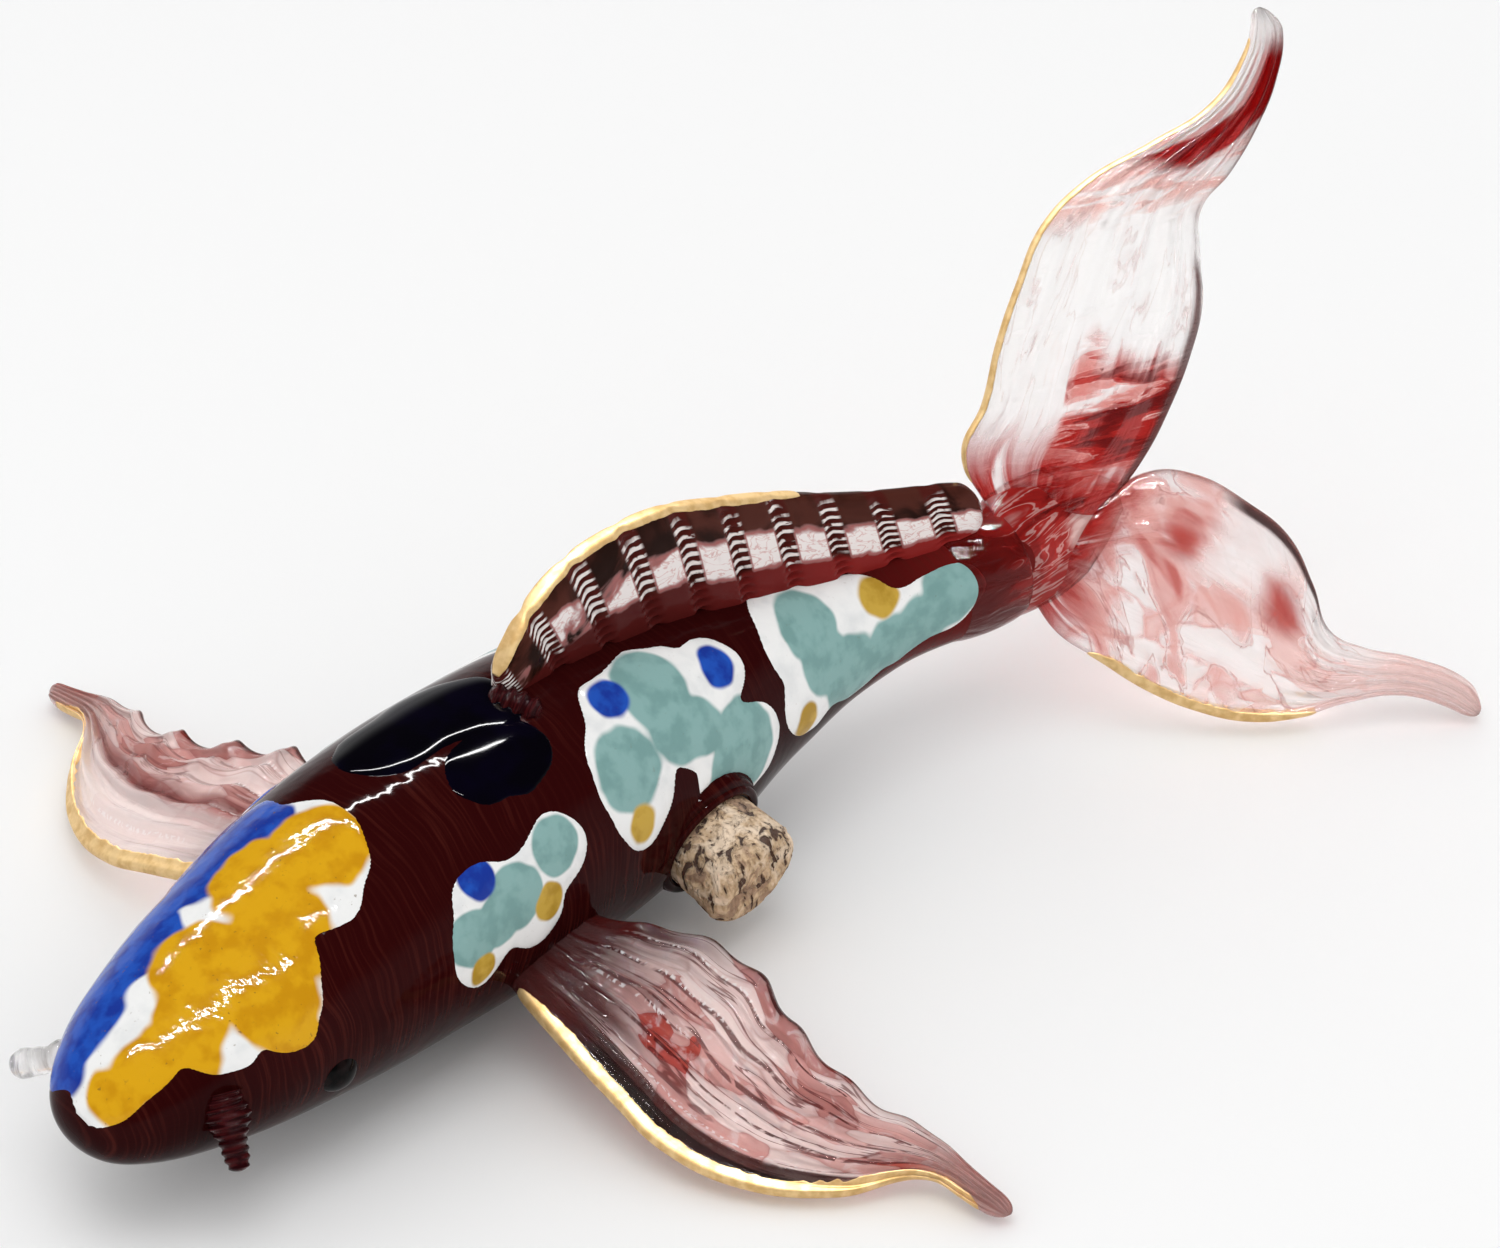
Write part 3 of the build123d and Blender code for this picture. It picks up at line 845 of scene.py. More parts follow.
def black_glass(name, shades, scale, roughness, gloss):
    """Nearly black glass with a faint cloud of a second shade."""
    material, board = new_finish(name)
    cloud = grain(board, object_place(board), scale)
    colour = board.mix(cloud.ramp(0.4, 0.7), *shades)
    roughness = roughness + cloud * 0.03
    shade(board, {"Base Color": colour, "Roughness": roughness, "Specular IOR Level": gloss})
    return material


# %% Drops of colour
HEAD_YELLOW = [
    (0.36, -0.06, 0.135), (0.18, -0.01, 0.135), (0.10, -0.15, 0.135), (-0.06, -0.22, 0.135),
    (-0.11, -0.06, 0.14), (-0.23, -0.13, 0.10), (-0.33, -0.16, 0.095), (-0.43, -0.12, 0.075),
    (-0.52, -0.10, 0.07),
]
HEAD_BLUE = [
    (0.30, 0.17, 0.145), (0.15, 0.20, 0.155), (0.02, 0.26, 0.14), (-0.14, 0.18, 0.145),
    (-0.25, 0.21, 0.14), (-0.38, 0.13, 0.12), (-0.48, 0.10, 0.09), (-0.53, 0.03, 0.04),
]
CHEEK_TEAL = [(0.30, 0.11, 0.15), (-0.33, -0.07, 0.15), (-0.02, 0.00, 0.17), (-0.16, -0.06, 0.14)]
CHEEK_BLUE = [(-0.19, 0.19, 0.11)]
CHEEK_OCHRE = [(0.18, -0.13, 0.10), (-0.30, -0.26, 0.08)]
FLANK_TEAL = [
    (-0.06, 0.18, 0.15), (-0.32, 0.00, 0.145), (-0.05, 0.03, 0.13), (0.23, -0.16, 0.165),
    (0.06, -0.02, 0.10), (0.12, -0.20, 0.08),
]
FLANK_BLUE = [(-0.24, 0.23, 0.075), (0.24, 0.13, 0.075)]
FLANK_OCHRE = [(-0.33, -0.19, 0.065)]
REAR_TEAL = [
    (-0.18, 0.10, 0.13), (-0.16, -0.04, 0.12), (-0.04, -0.14, 0.14), (0.17, -0.14, 0.13),
    (0.31, -0.10, 0.11), (0.45, -0.04, 0.12),
]
REAR_OCHRE = [(0.17, 0.07, 0.08), (-0.29, -0.21, 0.065)]
HEAD_FINISH = patch_finish("head_enamel", [(HEAD_BLUE, COBALT), (HEAD_YELLOW, MUSTARD)], 0.06, 0.6)
CHEEK_FINISH, FLANK_FINISH, FAR_FINISH = [
    patch_finish(name, [(teal, CELADON), (blue, COBALT), (ochre, OCHRE)])
    for name, teal, blue, ochre in (
        ("cheek_enamel", CHEEK_TEAL, CHEEK_BLUE, CHEEK_OCHRE),
        ("flank_enamel", FLANK_TEAL, FLANK_BLUE, FLANK_OCHRE),
        ("far_enamel", FLANK_TEAL, FLANK_BLUE[1:], FLANK_OCHRE),
    )
]
REAR_FINISH = patch_finish("rear_enamel", [(REAR_TEAL, CELADON), (REAR_OCHRE, OCHRE)])
BLACK_FINISH = black_glass("black_enamel", INK, 0.25, 0.04, 0.035)
print("patch finishes:", HEAD_FINISH.name, CHEEK_FINISH.name, FLANK_FINISH.name, REAR_FINISH.name)

# %% Lay the patches
# Each drop is given as along, up, half length and half height.
HEAD_DROPS = [
    (0.28, -0.02, 0.21, 0.20), (0.25, -0.13, 0.13, 0.12), (-0.04, 0.02, 0.30, 0.24),
    (-0.04, -0.20, 0.16, 0.13), (-0.22, -0.17, 0.12, 0.11), (-0.38, -0.05, 0.15, 0.13),
    (-0.50, -0.05, 0.10, 0.10), (0.23, 0.20, 0.20, 0.15), (-0.12, 0.20, 0.20, 0.12),
    (-0.32, 0.18, 0.15, 0.12), (-0.44, 0.10, 0.13, 0.10),
]
BACK_DROPS = [(-0.10, 0.13, 0.30, 0.27), (0.22, 0.13, 0.30, 0.29), (0.38, 0.00, 0.20, 0.25)]
SPOT_DROPS = [(-0.06, 0.14, 0.38, 0.28), (0.17, 0.10, 0.36, 0.29)]
CHEEK_DROPS = [
    (0.31, 0.07, 0.20, 0.20), (-0.28, -0.13, 0.19, 0.23), (-0.19, 0.11, 0.18, 0.15),
    (0.02, -0.04, 0.25, 0.22), (0.12, -0.19, 0.16, 0.15),
]
FLANK_DROPS = [
    (-0.05, 0.16, 0.22, 0.17), (-0.30, -0.01, 0.18, 0.21), (-0.31, -0.16, 0.12, 0.12),
    (-0.25, 0.18, 0.12, 0.13), (0.22, 0.12, 0.14, 0.12), (0.06, -0.02, 0.17, 0.13),
    (0.26, -0.18, 0.20, 0.15), (0.10, -0.22, 0.13, 0.11),
]
FAR_FLANK_DROPS = [drop for drop in FLANK_DROPS if drop[1] < 0.17]
REAR_DROPS = [
    (-0.21, 0.08, 0.20, 0.17), (-0.21, 0.19, 0.14, 0.10), (-0.27, -0.145, 0.15, 0.135),
    (-0.02, -0.09, 0.19, 0.145), (0.02, 0.08, 0.20, 0.11), (0.20, -0.07, 0.18, 0.125),
    (0.42, -0.05, 0.155, 0.115),
]
for name, length, drops, share, turn_deg, material, slot in (
    ("head_patch", 31.0, HEAD_DROPS, 0.156, 0.0, HEAD_FINISH, "ochre_patch"),
    ("back_patch", 17.0, BACK_DROPS, 0.385, 0.0, BLACK_FINISH, "black_patch"),
    ("back_spot", 11.0, SPOT_DROPS, 0.413, 33.0, BLACK_FINISH, "black_patch"),
    ("cheek_patch_left", 17.0, CHEEK_DROPS, 0.374, 72.0, CHEEK_FINISH, "celadon_patch"),
    ("flank_patch_left", 25.0, FLANK_DROPS, 0.590, 55.0, FLANK_FINISH, "celadon_patch"),
    ("rear_patch_left", 25.0, REAR_DROPS, 0.797, 58.0, REAR_FINISH, "celadon_patch"),
    ("cheek_patch_right", 17.0, CHEEK_DROPS, 0.330, -70.0, CHEEK_FINISH, "celadon_patch"),
    ("flank_patch_right", 25.0, FAR_FLANK_DROPS, 0.570, -64.0, FAR_FINISH, "celadon_patch"),
    ("rear_patch_right", 25.0, REAR_DROPS, 0.797, -62.0, REAR_FINISH, "celadon_patch"),
):
    enamel = patch("enamel_" + name, length, drops, share, turn_deg, material)
    settle(enamel, "figurine", slot, name)

# %% [markdown]
# ## Fins
#
# A fin is a hot strip of glass drawn between two edges and pressed with ridged pliers. One
# Geometry Nodes tree makes all five: it samples two guide curves, rolls a grid into a lens-shaped
# section between them, and adds lengthwise flutes or the crimps and teeth of the pliers. It keeps
# the share along and across the fin as attributes, which the glass uses for its red streaks. A
# second version of the tree wraps only the front edge, for the gilding.

# %% Fin and gilding trees
FIN_SIZES = (
    "Thickness", "Root Share", "Tip Share", "Flutes", "Flute Depth", "Crimps", "Crimp Depth",
    "Teeth", "Tooth Depth", "Slant", "Scallops", "Scallop Depth", "Ripple", "Skin", "Skin Width",
    "Start", "End",
)
FIN_INPUTS = [("Edge", "Object"), ("Rear", "Object"), ("Stations", "Int"), ("Around", "Int")]
FIN_INPUTS += [(label, "Float") for label in FIN_SIZES] + [("Finish", "Material")]
TIP_START, LENS_POWER, TOOTH_SLANT = 0.955, 0.65, 1.5
ROOT_ROUND, TIP_ROUND, GILT_TAPER = 60, 40, 8.0
RAG_RATE, RAG_SHARE, SEAM_EASE = 40, 0.7, 0.00001


def guide_points(board, curve, along):
    """Places and tangents on a guide curve, at shares of its length."""
    line = board.node("GeometryNodeObjectInfo", {}, {"Object": curve})["Geometry"]
    inputs = {"Curves": line, "Factor": along}
    return board.node("GeometryNodeSampleCurve", {"mode": "FACTOR"}, inputs)


def fin_tree(name, gilded):
    """A fin between its two guide curves, or the gilding on the front edge of it."""
    tree, board, given = new_tree(name, FIN_INPUTS)
    grid, own, turn = rolled_grid(board, given["Stations"], given["Around"])
    along = given["Start"] + own * (given["End"] - given["Start"])
    edge, rear = [guide_points(board, given[key], along) for key in ("Edge", "Rear")]
    chord = rear["Position"] - edge["Position"]
    width = chord.vector("LENGTH")["Value"]
    across_way = chord.vector("NORMALIZE")
    run = edge["Tangent"] + rear["Tangent"]
    facing = run.vector("CROSS_PRODUCT", across_way).vector("NORMALIZE")
    near_end = (own * ROOT_ROUND).at_most((1 - own) * TIP_ROUND).at_least(0.0)
    ends = near_end.at_most(1.0) ** 0.5
    angle = turn
    if gilded:
        ragged = grain(board, board.xyz(along * RAG_RATE, 0.0, 0.0), 1.0, 3.0) - 0.5
        taper = (near_end / GILT_TAPER).at_most(1.0) ** 0.5
        reach = given["Skin Width"] * (1 + ragged * RAG_SHARE) * taper / width
        angle = (1 - 2 * reach.at_most(0.9)).number("ARCCOSINE") * turn.cos() * -1.0
        bulge = turn.sin()
        size = (abs(bulge) - SEAM_EASE).at_least(0.0) ** 0.3
        skin_out = given["Skin"] * ends * bulge.number("SIGN") * size
    across = 0.5 - 0.5 * angle.cos()
    lift = angle.sin()
    lens = lift.number("SIGN") * abs(lift) ** LENS_POWER
    # Crimps and teeth of the pliers, then the flutes.
    beat = (along + across * given["Slant"]) * given["Crimps"] * FULL_TURN
    pulse = (0.5 + 0.5 * beat.cos()) ** 6.0
    comb = across * given["Teeth"] * FULL_TURN + beat * TOOTH_SLANT
    middle = (across * (1 - across) * 4.0).ramp(0.0, 0.5)
    body_share = given["Root Share"] + along * (given["Tip Share"] - given["Root Share"])
    half = given["Thickness"] * 0.5 * body_share * (1 - given["Crimp Depth"] * pulse)
    half = half + pulse * given["Tooth Depth"] * comb.sin() * middle
    ridge = across * given["Flutes"] * FULL_TURN
    flute = given["Flute Depth"] * ridge.cos() * middle * along.ramp(0.0, 0.3)
    # The round tip and the frilled rear edge.
    tip = ((along - TIP_START) / (1 - TIP_START)).at_least(0.0).at_most(0.999)
    slide = (0.5 + (across - 0.5) * (1 - tip * tip) ** 0.5) * width
    wave = along * given["Scallops"] * FULL_TURN
    frill = across**2.0 * along.window(0.14, 0.78, 0.07)
    slide = slide + given["Scallop Depth"] * frill * wave.cos()
    ripple = given["Ripple"] * frill * wave.sin()
    if gilded:
        rise = lens * half + flute + ripple + lens * skin_out
        slide = slide - angle.cos() * skin_out
    else:
        rise = (lens * half + flute) * ends + ripple
    for label, value in (("along", along), ("across", across)):
        grid = board.node(
            "GeometryNodeStoreNamedAttribute",
            {"data_type": "FLOAT", "domain": "POINT"},
            {"Geometry": grid, "Name": label, "Value": value},
        )
    close_tree(board, given, grid, edge["Position"] + across_way * slide + facing * rise)
    return tree


FIN_TREE = fin_tree("pressed_fin", False)
GILT_TREE = fin_tree("gilded_edge", True)
print("fin trees with", len(FIN_TREE.nodes), "and", len(GILT_TREE.nodes), "nodes")

# %% [markdown]
# ## Fin glass
#
# The fins are clear glass with red threads caught in it. All of the colour is drawn on the two fin
# attributes, so it follows each fin as it bends: flowing streaks are stretched noise, and the
# facets that the folds of the glass show are the cells of a Voronoi pattern.

# %% Fin patterns
CLEAR = (0.99, 0.98, 0.975, 1)
PALE_ROSE = (0.90, 0.62, 0.58, 1)
ROSE = (0.78, 0.32, 0.29, 1)
RUBY = (0.46, 0.024, 0.020, 1)
DARK_RUBY = (0.070, 0.005, 0.006, 1)
SMOKE = (0.012, 0.004, 0.004, 1)
# Painted shade along the rims of the glass.
EDGE_SHADE = (0.05, 0.012, 0.012, 1)


def fin_shares(board):
    """Shares along and across a fin, from its attributes."""
    return [
        board.node("ShaderNodeAttribute", {"attribute_name": label})["Fac"]
        for label in ("along", "across")
    ]


def flow(board, along, across, stretch, seed, detail=4.0):
    """Noise on the two shares, stretched into streaks."""
    spot = board.xyz(along * stretch[0] + seed, across * stretch[1], 0.0)
    return grain(board, spot, 1.0, detail, 1.0)


def facets(board, along, across, stretch, seed):
    """A random tone for each facet of a cracked pattern, and a line along the joins."""
    sway = flow(board, along, across, (6.0, 4.0), seed + 40.0, 2.0) - 0.5
    spot = board.xyz(along * stretch[0] + sway * 1.6, across * stretch[1] + sway * 1.2 + seed, 0.0)
    inputs = {"Vector": spot, "Scale": 1.0}
    cells = board.node("ShaderNodeTexVoronoi", {}, inputs)["Color"]
    tone = board.node("ShaderNodeSeparateColor", {}, {"Color": cells})["Red"]
    gap = board.node("ShaderNodeTexVoronoi", {"feature": "DISTANCE_TO_EDGE"}, inputs)
    return tone, 1 - gap.ramp(0.0, 0.07)


def creases(wire, thin=0.022):
    """Thin lines along the half-way level of a noise, like folds in the glass."""
    return 1 - abs(wire - 0.5).ramp(thin * 0.3, thin)


def glass(board, colour, see_through, height, bump, gloss=0.5):
    """End a finish in coloured glass."""
    sockets = {
        "Base Color": colour,
        "Roughness": 0.03 + height * 0.02,
        "Transmission Weight": see_through,
        "IOR": GLASS_IOR,
        "Specular IOR Level": gloss,
        "Specular Tint": (2 * gloss, 2 * gloss, 2 * gloss, 1),
    }
    shade(board, sockets, height, bump)


# %% Upper tail glass


def upper_finish():
    """Mostly clear, a slanting red flush on the rear of the root, a red stripe into the tip, a rim
    darkened with painted shade.
    """
    material, board = new_finish("tail_upper_glass")
    along, across = fin_shares(board)
    threads = flow(board, along, across, (2.6, 7.0), 3.0)
    slant = flow(board, along - across * 0.16, across, (24.0, 1.6), 8.0)
    wander = (threads - 0.5) * 0.4
    veil = (along + wander * 0.3 - across * 0.12).window(0.50, 0.64, 0.04) * slant.ramp(0.40, 0.54)
    flush = (across + wander).ramp(0.38, 0.46) * (1 - (along + wander * 0.5).ramp(0.27, 0.35))
    root = 1 - (along + wander * 0.6).ramp(0.05, 0.20)
    path = (0.22 + (along - 0.64) * 3.0).at_most(0.78)
    aside = abs(across + wander * 0.3 - path)
    stripe = (1 - aside.ramp(0.22, 0.28)) * along.window(0.66, 0.94, 0.03)
    deep = board.mix(threads.ramp(0.50, 0.64), (0.33, 0.004, 0.004, 1), (0.16, 0.004, 0.004, 1))
    # Painted shade: a dark line along the rear rim of the lobe.
    rim_shade = across.ramp(0.94, 0.965) * threads.ramp(0.34, 0.48)
    colour = board.coats(
        CLEAR,
        (threads.ramp(0.60, 0.72) * 0.5, PALE_ROSE),
        (veil * 0.9, (0.84, 0.48, 0.43, 1)),
        (creases(threads, 0.012) * 0.4, (0.62, 0.40, 0.38, 1)),
        (flush * slant.ramp(0.36, 0.42), ROSE),
        (flush * slant.ramp(0.47, 0.51), RUBY),
        (flush * slant.ramp(0.57, 0.61), (0.17, 0.010, 0.010, 1)),
        (flush * creases(slant, 0.016), PALE_ROSE),
        (root * threads.ramp(0.30, 0.44), RUBY),
        (stripe, deep),
        (rim_shade * 0.9, (0.10, 0.020, 0.018, 1)),
    )
    glass(board, colour, 0.72, threads + slant * 0.6, 0.40)
    return material


UPPER_FINISH = upper_finish()
print("finish", UPPER_FINISH.name)

# %% Lower tail glass
# Along, across and radius of the red clouds.
LOWER_CLOUDS = ((0.24, 0.70, 0.07), (0.50, 0.70, 0.10))


def lower_finish():
    """Clear glass with slanting rose streaks and folds, two red clouds, a rim and both edges
    darkened with painted shade, a pale tip.
    """
    material, board = new_finish("tail_lower_glass")
    along, across = fin_shares(board)
    threads = flow(board, along, across, (3.0, 6.0), 14.0)
    tone, joins = facets(board, along, across, (7.0, 4.5), 2.0)
    wander = (threads - 0.5) * 0.4
    sweep = flow(board, along + across * 0.35, across, (7.0, 2.0), 26.0)
    near = (along + wander * 0.3).window(0.04, 0.46, 0.06)
    pale = (along + wander * 0.3).window(0.30, 0.46, 0.05) * (across + wander).ramp(0.55, 0.72)
    here = board.xyz(along + wander * 0.2, (across + wander * 0.4) * 0.5, 0.0)
    clouds = []
    for cloud_along, cloud_across, radius in LOWER_CLOUDS:
        gap = here.vector("DISTANCE", (cloud_along, cloud_across * 0.5, 0.0))["Value"]
        clouds.append(((1 - gap.ramp(radius * 0.2, radius)) * 0.9, (0.50, 0.06, 0.045, 1)))
    root = 1 - (along + wander * 0.6).ramp(0.03, 0.20)
    tip = (along + wander * 0.2).ramp(0.66, 0.80)
    # Painted shade: a dark line along the rear rim, and a darker line along both edges.
    rim_shade = across.ramp(0.93, 0.955) * (along + wander * 0.3).window(0.30, 0.62, 0.04)
    edge = abs(across - 0.5).ramp(0.465, 0.495)
    colour = board.coats(
        CLEAR,
        (tone.ramp(0.30, 0.85) * 0.8, PALE_ROSE),
        (joins * threads.ramp(0.42, 0.50) * 0.5, ROSE),
        (near * sweep.ramp(0.49, 0.58) * 0.75, (0.80, 0.40, 0.36, 1)),
        (near * sweep.ramp(0.60, 0.67) * 0.85, (0.60, 0.14, 0.12, 1)),
        (creases(sweep, 0.014) * 0.6, (0.50, 0.17, 0.15, 1)),
        (pale * 0.85, CLEAR),
        *clouds,
        (root * threads.ramp(0.34, 0.48), RUBY),
        (tip * 0.8, (0.94, 0.76, 0.73, 1)),
        (rim_shade * 0.95, EDGE_SHADE),
        (edge * 0.5, (0.30, 0.10, 0.09, 1)),
    )
    glass(board, colour, 0.72, threads + tone * 0.5, 0.40)
    return material


LOWER_FINISH = lower_finish()
print("finish", LOWER_FINISH.name)

# %% Side fin glass
SIDE_FLUTES, GLINTS, GLINT_HALF = 6.0, 70, 0.009
# Place across, and the first and last share along, of each row of painted glints.
GLINT_ROWS = ((0.206, 0.30, 0.74), (0.47, 0.17, 0.36), (0.66, 0.15, 0.40), (0.84, 0.16, 0.44))


def side_finish(side, dark, smoke, pale):
    """Rose and mauve facets between dark lines of painted shade along the flutes, a smoky band by
    the gilding, a maroon root, rows of painted glints and a rim in painted shade.

    A pale fin has its front half painted clear as a painted highlight, and one mauve fold behind it
    in painted shade.
    """
    material, board = new_finish("side_fin_glass_" + side)
    along, across = fin_shares(board)
    threads = flow(board, along, across, (2.0, 7.0), 11.0)
    fine = flow(board, along, across, (22.0, 9.0), 19.0)
    tone, joins = facets(board, along, across, (6.0, 7.0), 5.0)
    wander = (threads - 0.5) * 0.4
    beat = across * (SIDE_FLUTES * FULL_TURN) + (threads - 0.5) * 5.0
    # Painted shade: dark lines along the flute grooves.
    line = beat.cos().ramp(0.86, 0.98) * fine.ramp(0.36, 0.48)
    # Painted highlight on the front half and painted shade along one fold, both scaled by pale.
    front_sheen = 1 - (across + wander * 0.3).ramp(0.36, 0.50)
    fold_shade = (across + wander * 0.5).window(0.47, 0.57, 0.05)
    fold_shade = fold_shade * (along + wander * 0.3).window(0.14, 0.80, 0.08)
    root = 1 - (along + wander).ramp(0.14, 0.38)
    band = (across + wander * 0.08).window(0.05, 0.17, 0.02)
    band = band * (along + wander * 0.4).window(0.20, 0.78, 0.07)
    # Painted highlights: rows of white dots that stand in for glints on the glass.
    glint_phase = along * (GLINTS * FULL_TURN) + (fine - 0.5) * 30.0
    glint_dots = glint_phase.sin().ramp(0.0, 0.6) * fine.ramp(0.42, 0.50)
    glints = []
    for row, first, last in GLINT_ROWS:
        lit = (across + wander * 0.04).window(row - GLINT_HALF, row + GLINT_HALF, 0.005)
        glints.append((glint_dots * (lit * along.window(first, last, 0.03)), CLEAR))
    tip = (along + wander * 0.2).ramp(0.80, 0.90)
    colour = board.coats(
        (0.93, 0.80, 0.77, 1),
        (tone.ramp(0.15, 0.60), (0.75, 0.43, 0.40, 1)),
        (tone.ramp(0.62, 0.85), (0.50, 0.23, 0.21, 1)),
        (tone.ramp(0.92, 0.94), (0.50, 0.07, 0.05, 1)),
        (fine.ramp(0.52, 0.64) * 0.45, (0.95, 0.88, 0.87, 1)),
        (line * (0.9 * dark), DARK_RUBY),
        (creases(threads) * (0.8 * dark), (0.12, 0.02, 0.02, 1)),
        (joins * 0.3, (0.22, 0.05, 0.05, 1)),
        (front_sheen * pale, (0.97, 0.90, 0.88, 1)),
        (fold_shade * pale, (0.20, 0.050, 0.047, 1)),
        (root * (0.94 * dark), (0.085, 0.012, 0.012, 1)),
        (band * smoke, SMOKE),
        *glints,
        (tip * 0.7, (0.74, 0.47, 0.44, 1)),
        (across.ramp(0.96, 0.99) * 0.85, EDGE_SHADE),
    )
    glass(board, colour, 0.50, threads + fine * 0.4, 0.30, 0.08)
    return material


# The last number of each is painted light: a pale front as a painted highlight and a dark fold as
# painted shade.
SIDE_FINISH = {
    "left": side_finish("left", 1.0, 0.96, 0.0),
    "right": side_finish("right", 0.5, 0.0, 0.85),
}
print("finishes", [finish.name for finish in SIDE_FINISH.values()])

# %% Dorsal glass and gold
DORSAL_CRIMPS, DORSAL_TEETH, DORSAL_SLANT = 10.0, 15.0, -0.04


def dorsal_finish():
    """Dark red glass with pale pads of pinkish-white glass brightened by a painted reflection,
    between crimps with painted glints.
    """
    material, board = new_finish("dorsal_glass")
    along, across = fin_shares(board)
    threads = flow(board, along, across, (9.0, 2.0), 7.0)
    fine = flow(board, along, across, (30.0, 12.0), 3.0)
    beat = (along + across * DORSAL_SLANT) * (DORSAL_CRIMPS * FULL_TURN)
    pulse = 0.5 + 0.5 * beat.cos()
    height = across + (threads - 0.5) * 0.20
    low_red = board.mix(along.ramp(0.30, 0.95), (0.090, 0.011, 0.010, 1), (0.30, 0.022, 0.020, 1))
    # Painted reflection: the pads are pinkish-white glass painted nearly white.
    pad_sheen = height.window(0.26, 0.54, 0.03) * (1 - pulse.ramp(0.58, 0.76))
    pad_sheen = pad_sheen * (threads + along * 0.9).ramp(0.58, 0.76)
    comb = across * (DORSAL_TEETH * FULL_TURN) + beat * TOOTH_SLANT + (fine - 0.5) * 3.0
    jag = flow(board, along, across * 0.0, (16.0, 1.0), 44.0) - 0.5
    # Painted glints: white ticks on the teeth of the crimps.
    tooth_glints = pulse.ramp(0.60, 0.84) * comb.sin().ramp(0.0, 0.55)
    tooth_glints = tooth_glints * (across + jag * 0.35).window(0.09, 0.54, 0.04) * fine.ramp(0.32, 0.44)
    colour = board.coats(
        (0.018, 0.006, 0.004, 1),
        (threads.ramp(0.40, 0.62), (0.085, 0.024, 0.017, 1)),
        (height.ramp(0.50, 0.58), low_red),
        (pulse.ramp(0.55, 0.85) * (1 - across.ramp(0.40, 0.60)), (0.085, 0.014, 0.011, 1)),
        (pad_sheen * 0.97, (1.0, 0.93, 0.91, 1)),
        (pad_sheen * creases(fine, 0.03) * 0.5, (0.62, 0.20, 0.18, 1)),
        (pad_sheen * (1 - pad_sheen) * 3.0, (0.36, 0.05, 0.045, 1)),
        (tooth_glints * 0.95, (0.97, 0.90, 0.87, 1)),
    )
    glass(board, colour, 0.15, threads, 0.15, 0.06)
    return material


def gold_finish():
    """Gold fired on in a thin film, a little worn."""
    material, board = new_finish("fired_gold")
    wear = grain(board, object_place(board), 0.9, 4.0)
    sockets = {
        "Base Color": board.mix(wear.ramp(0.35, 0.7), (0.80, 0.57, 0.28, 1), (0.60, 0.38, 0.15, 1)),
        "Metallic": 0.5,
        "Roughness": 0.40 + wear * 0.18,
        "Specular IOR Level": 0.2,
    }
    shade(board, sockets, wear, 0.04)
    return material


DORSAL_FINISH, GOLD_FINISH = dorsal_finish(), gold_finish()
print("dorsal and edges:", DORSAL_FINISH.name, GOLD_FINISH.name)

# %% [markdown]
# ## Guide curves
#
# The edges of each fin were read off the photo as rows of shares. They become Bezier curves with
# automatic handles, which pass through every point and bend smoothly between them.

# %% Fin maker
GILT_SKIN, FIN_STATIONS, GILT_STATIONS = 0.12, 300, 260
FIN_AROUND, TOOTHED_AROUND, GILT_AROUND = 129, 257, 49


def guide(name, points):
    """A smooth open curve through points in millimetres."""
    data = bpy.data.curves.new(name, "CURVE")
    data.dimensions = "3D"
    data.resolution_u = 16
    spline = data.splines.new("BEZIER")
    spline.bezier_points.add(len(points) - 1)
    for spot, point in zip(spline.bezier_points, points):
        spot.co = Vector(point) * MM
        spot.handle_left_type = spot.handle_right_type = "AUTO"
    return place(name, data)


def fin(name, spots, values, material, nodes, gilt_span, gilt_width):
    """A glass fin between two edges, and the gilding on the first of them."""
    edge_points, rear_points = zip(*spots)
    edge, rear = guide(name + "_edge", edge_points), guide(name + "_rear", rear_points)
    shared = {"Edge": edge, "Rear": rear, **values}
    glass_values = {
        "Stations": FIN_STATIONS,
        "Around": TOOTHED_AROUND if "Teeth" in values else FIN_AROUND,
        "Start": 0.0,
        "End": 1.0,
        "Finish": material,
    }
    gilt_values = {
        "Stations": GILT_STATIONS,
        "Around": GILT_AROUND,
        "Start": gilt_span[0],
        "End": gilt_span[1],
        "Finish": GOLD_FINISH,
        "Skin": GILT_SKIN * MM,
        "Skin Width": gilt_width * MM,
    }
    pressed = grow(name, FIN_TREE, {**shared, **glass_values})
    gilt = grow(name + "_gilding", GILT_TREE, {**shared, **gilt_values})
    bpy.data.objects.remove(edge)
    bpy.data.objects.remove(rear)
    settle(pressed, "figurine", "fin_glass", nodes[0])
    settle(gilt, "figurine", "gilding", nodes[1])


# %% Tail fan
TAIL_X = unit(np.array([0.549, 0.808, 0.213]))
TAIL_Z = np.array([0.705, -0.585, 0.401])
TAIL_Z = unit(TAIL_Z - TAIL_X * (TAIL_Z @ TAIL_X))
TAIL_Y = np.cross(TAIL_Z, TAIL_X)
TAIL_SHARE, TAIL_LENGTH, TAIL_UPPER_SPAN, TAIL_LOWER_SPAN = 0.976, 40.0, 40.0, 27.6
TAIL_ORIGIN = (skin(TAIL_SHARE, 0.0) + skin(TAIL_SHARE, 180.0)) / 2
